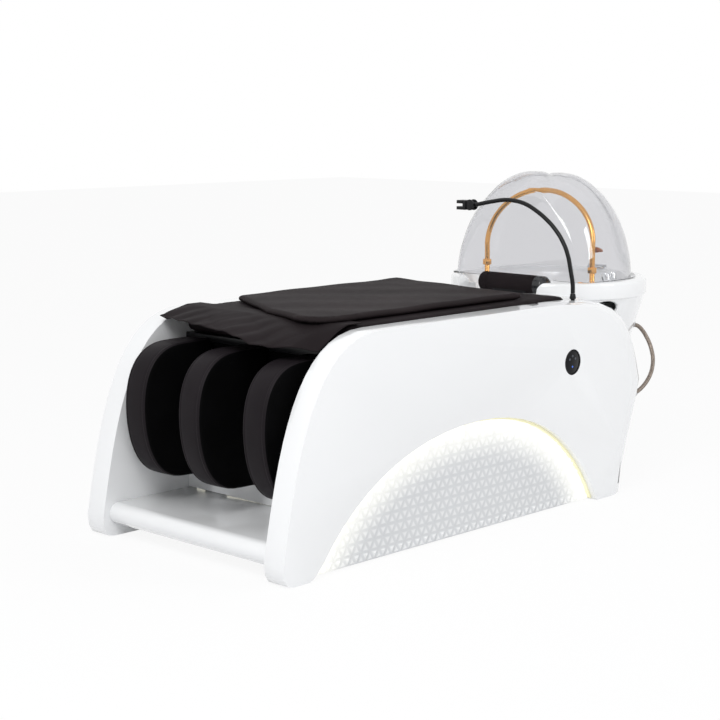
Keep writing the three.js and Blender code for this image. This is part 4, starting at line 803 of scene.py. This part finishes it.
def hood_dome():
    bm = bmesh.new()
    bmesh.ops.create_uvsphere(bm, u_segments=144, v_segments=84, radius=1.0)
    geom = bm.verts[:] + bm.edges[:] + bm.faces[:]
    bmesh.ops.bisect_plane(bm, geom=geom, plane_co=(0, 0, 0), plane_no=(0, 0, -1), clear_outer=True)
    for v in bm.verts:
        v.co = hood_spot(v.co.normalized())
    foot = [e for e in bm.edges if e.is_boundary]
    grown = bmesh.ops.extrude_edge_only(bm, edges=foot)["geom"]
    for v in (g for g in grown if isinstance(g, bmesh.types.BMVert)):
        v.co.x *= FLANGE
        v.co.y *= FLANGE
    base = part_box("hood_shell")[0].z + HOOD_WALL
    bmesh.ops.translate(bm, verts=bm.verts, vec=place(HOOD_CENTRE, 0, 0) + Vector((0, 0, base)))
    for v in bm.verts:
        v.co.x = pressed(v.co.x)
    made = piece("hood_dome", bm, "hood", CLEAR, ["hood_shell", "hood_front"])
    wall = made.modifiers.new("wall", "SOLIDIFY")
    wall.thickness = HOOD_WALL
    wall.offset = -1
    only(made)
    bpy.ops.object.modifier_apply(modifier=wall.name)
    cutter = opening_cutter()
    cut = made.modifiers.new("opening", "BOOLEAN")
    cut.object = cutter
    cut.solver = "EXACT"
    bpy.ops.object.modifier_apply(modifier=cut.name)
    bpy.data.objects.remove(cutter)
    made.data.shade_smooth()
    made.data.set_sharp_from_angle(angle=SHARP)
    return made


hood = hood_dome()
print(hood.name, len(hood.data.polygons), "faces")

# %% [markdown]
# Knobs, collars, brackets and boxes are turned, cast or folded parts whose solids already have the right
# form. Each keeps it, and gets a rolled edge of its own width and the finish of its metal or plastic.

# %% Small fittings
for node, material, width in (
    ("ring_collar_right", GOLD, 0.0012), ("ring_collar_left", GOLD, 0.0012),
    ("ring_riser_right", GOLD, 0.0006), ("ring_riser_left", GOLD, 0.0006),
    ("ring_valve_handle", COPPER, 0.001), ("mixer_body", CHROME, 0.002),
    ("hot_knob", CHROME, 0.0015), ("cold_knob", CHROME, 0.0015),
    ("drain_strainer", CHROME, 0.0008), ("hinge_base", CHROME, 0.0005),
    ("hinge_leaf", CHROME, 0.0005), ("arm_socket", BLACK, 0.0008),
    ("clip_joint", BLACK, 0.0008), ("clip_body", BLACK, 0.001), ("clip_jaw", BLACK, 0.001),
    ("disc_bezel", GLOSS_BLACK, 0.0008), ("disc_face", GLOSS_BLACK, 0.0006),
    ("hose_fitting_upper", STEEL, 0.0006), ("hose_fitting_lower", STEEL, 0.0006),
    ("neck_saddle", BLACK, 0.001), ("waste_pipe", GREY_CASE, 0.0006),
    ("air_pump", GREY_CASE, 0.003), ("water_heater", GREY_CASE, 0.003),
):
    refined(node, material, width)
# The deck board is satin black: partly the black cover wrapped round its front, partly painted shade under
# the flap.
for node, material in (
    ("deck_board", BLACK), ("equipment_shelf", BOARD), ("frame_side_right", FRAME_PAINT),
    ("frame_side_left", FRAME_PAINT), ("cross_member_front", FRAME_PAINT),
    ("cross_member_rear", FRAME_PAINT), ("glide_foot_front_right", RUBBER),
    ("glide_foot_front_left", RUBBER), ("glide_foot_rear_right", RUBBER),
    ("glide_foot_rear_left", RUBBER), ("hinge_pin", STEEL),
):
    refined(node, material, 0.0008)
print("fittings ready")

# %% [markdown]
# The touch disc is a dark glass face with printed dots and one lit point. They stand a hair proud of the
# glass, as a print does.

# %% Touch marks
DISC_X, DISC_Z = 1038, 387
MARK_PROUD, MARK_THICKNESS = 0.0001, 0.0004
ICON_SPOTS = ((-12, 8), (12, 8), (0, 16))
LIGHT_DROP = 12


def mark(name, x, z, radius, material):
    """A small printed dot on the touch disc."""
    bm = bmesh.new()
    spot = place(x, 0, z)
    spot.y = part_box("disc_face")[0].y - MARK_PROUD
    turn = Matrix.Translation(spot) @ Matrix.Rotation(math.pi / 2, 4, "X")
    bmesh.ops.create_cone(bm, cap_ends=True, segments=20, radius1=radius, radius2=radius,
                          depth=MARK_THICKNESS, matrix=turn)
    return piece(name, bm, "base", material)


for number, (dx, dz) in enumerate(ICON_SPOTS):
    mark(f"touch_mark_{number}", DISC_X + dx, DISC_Z + dz, 0.0032, ICON_GREY)
mark("touch_light", DISC_X, DISC_Z - LIGHT_DROP, 0.0026, BLUE_LIGHT)
print("touch marks", len(ICON_SPOTS) + 1)

# %% [markdown]
# A pale floor and soft light. The floor and the world show white to the camera and in reflections, and
# the lamps stay at a plain level.

# %% Floor
FLOOR_SIZE = 14
FLOOR_DROP = 0.0005
FLOOR_WHITE = 0.9
scene = bpy.context.scene
scene.view_settings.view_transform = "Standard"


def seen_or_mirrored(tree):
    """One for a ray from the camera, off a gloss or through the hood, and nought for the rest."""
    rays = tree.nodes.new("ShaderNodeLightPath").outputs
    mirrored = maths(tree, "MAXIMUM", rays["Is Glossy Ray"], rays["Is Transmission Ray"])
    return maths(tree, "MAXIMUM", rays["Is Camera Ray"], mirrored)


bm = bmesh.new()
bmesh.ops.create_grid(bm, x_segments=1, y_segments=1, size=FLOOR_SIZE)
floor_mesh = bpy.data.meshes.new("studio_floor")
bm.to_mesh(floor_mesh)
bm.free()
floor = bpy.data.objects.new("studio_floor", floor_mesh)
scene.collection.objects.link(floor)
floor.location.z = -FLOOR_DROP
floor_paint = bpy.data.materials.new("floor_white")
floor_paint.use_nodes = True
tree = floor_paint.node_tree
tree.nodes.clear()
diffuse = tree.nodes.new("ShaderNodeBsdfDiffuse")
diffuse.inputs["Color"].default_value = (0.85, 0.85, 0.86, 1)
white = tree.nodes.new("ShaderNodeEmission")
share = maths(tree, "MULTIPLY", seen_or_mirrored(tree), FLOOR_WHITE)
mixed(tree, share, diffuse, white, tree.nodes.new("ShaderNodeOutputMaterial"))
floor_mesh.materials.append(floor_paint)
print("floor ready")

# %% [markdown]
# The room is one even light all round, which keeps the shadows soft, and two softboxes add direction: one
# over the foot end and one beside the basin.

# %% Room light
ROOM_LIGHT = 0.85
world = bpy.data.worlds.new("studio_world")
scene.world = world
world.use_nodes = True
tree = world.node_tree
tree.nodes.clear()
lit = tree.nodes.new("ShaderNodeBackground")
lit.inputs["Strength"].default_value = ROOM_LIGHT
shown = tree.nodes.new("ShaderNodeBackground")
shown.inputs["Color"].default_value = (1, 1, 1, 1)
mixed(tree, seen_or_mirrored(tree), lit, shown, tree.nodes.new("ShaderNodeOutputWorld"))


def lamp(name, spot, target, size, power):
    data = bpy.data.lights.new(name, "AREA")
    data.shape = "RECTANGLE"
    data.size, data.size_y = size
    data.energy = power
    made = bpy.data.objects.new(name, data)
    scene.collection.objects.link(made)
    made.location = spot
    made.rotation_euler = (Vector(target) - Vector(spot)).to_track_quat("-Z", "Y").to_euler()
    return made


lamp("key_softbox", (-2.6, -1.2, 2.8), (-0.2, 0, 0.4), (1.6, 1.6), 55)
lamp("side_softbox", (1.4, -3.0, 2.0), (0.5, 0, 0.5), (0.7, 1.5), 22)
print("studio ready")
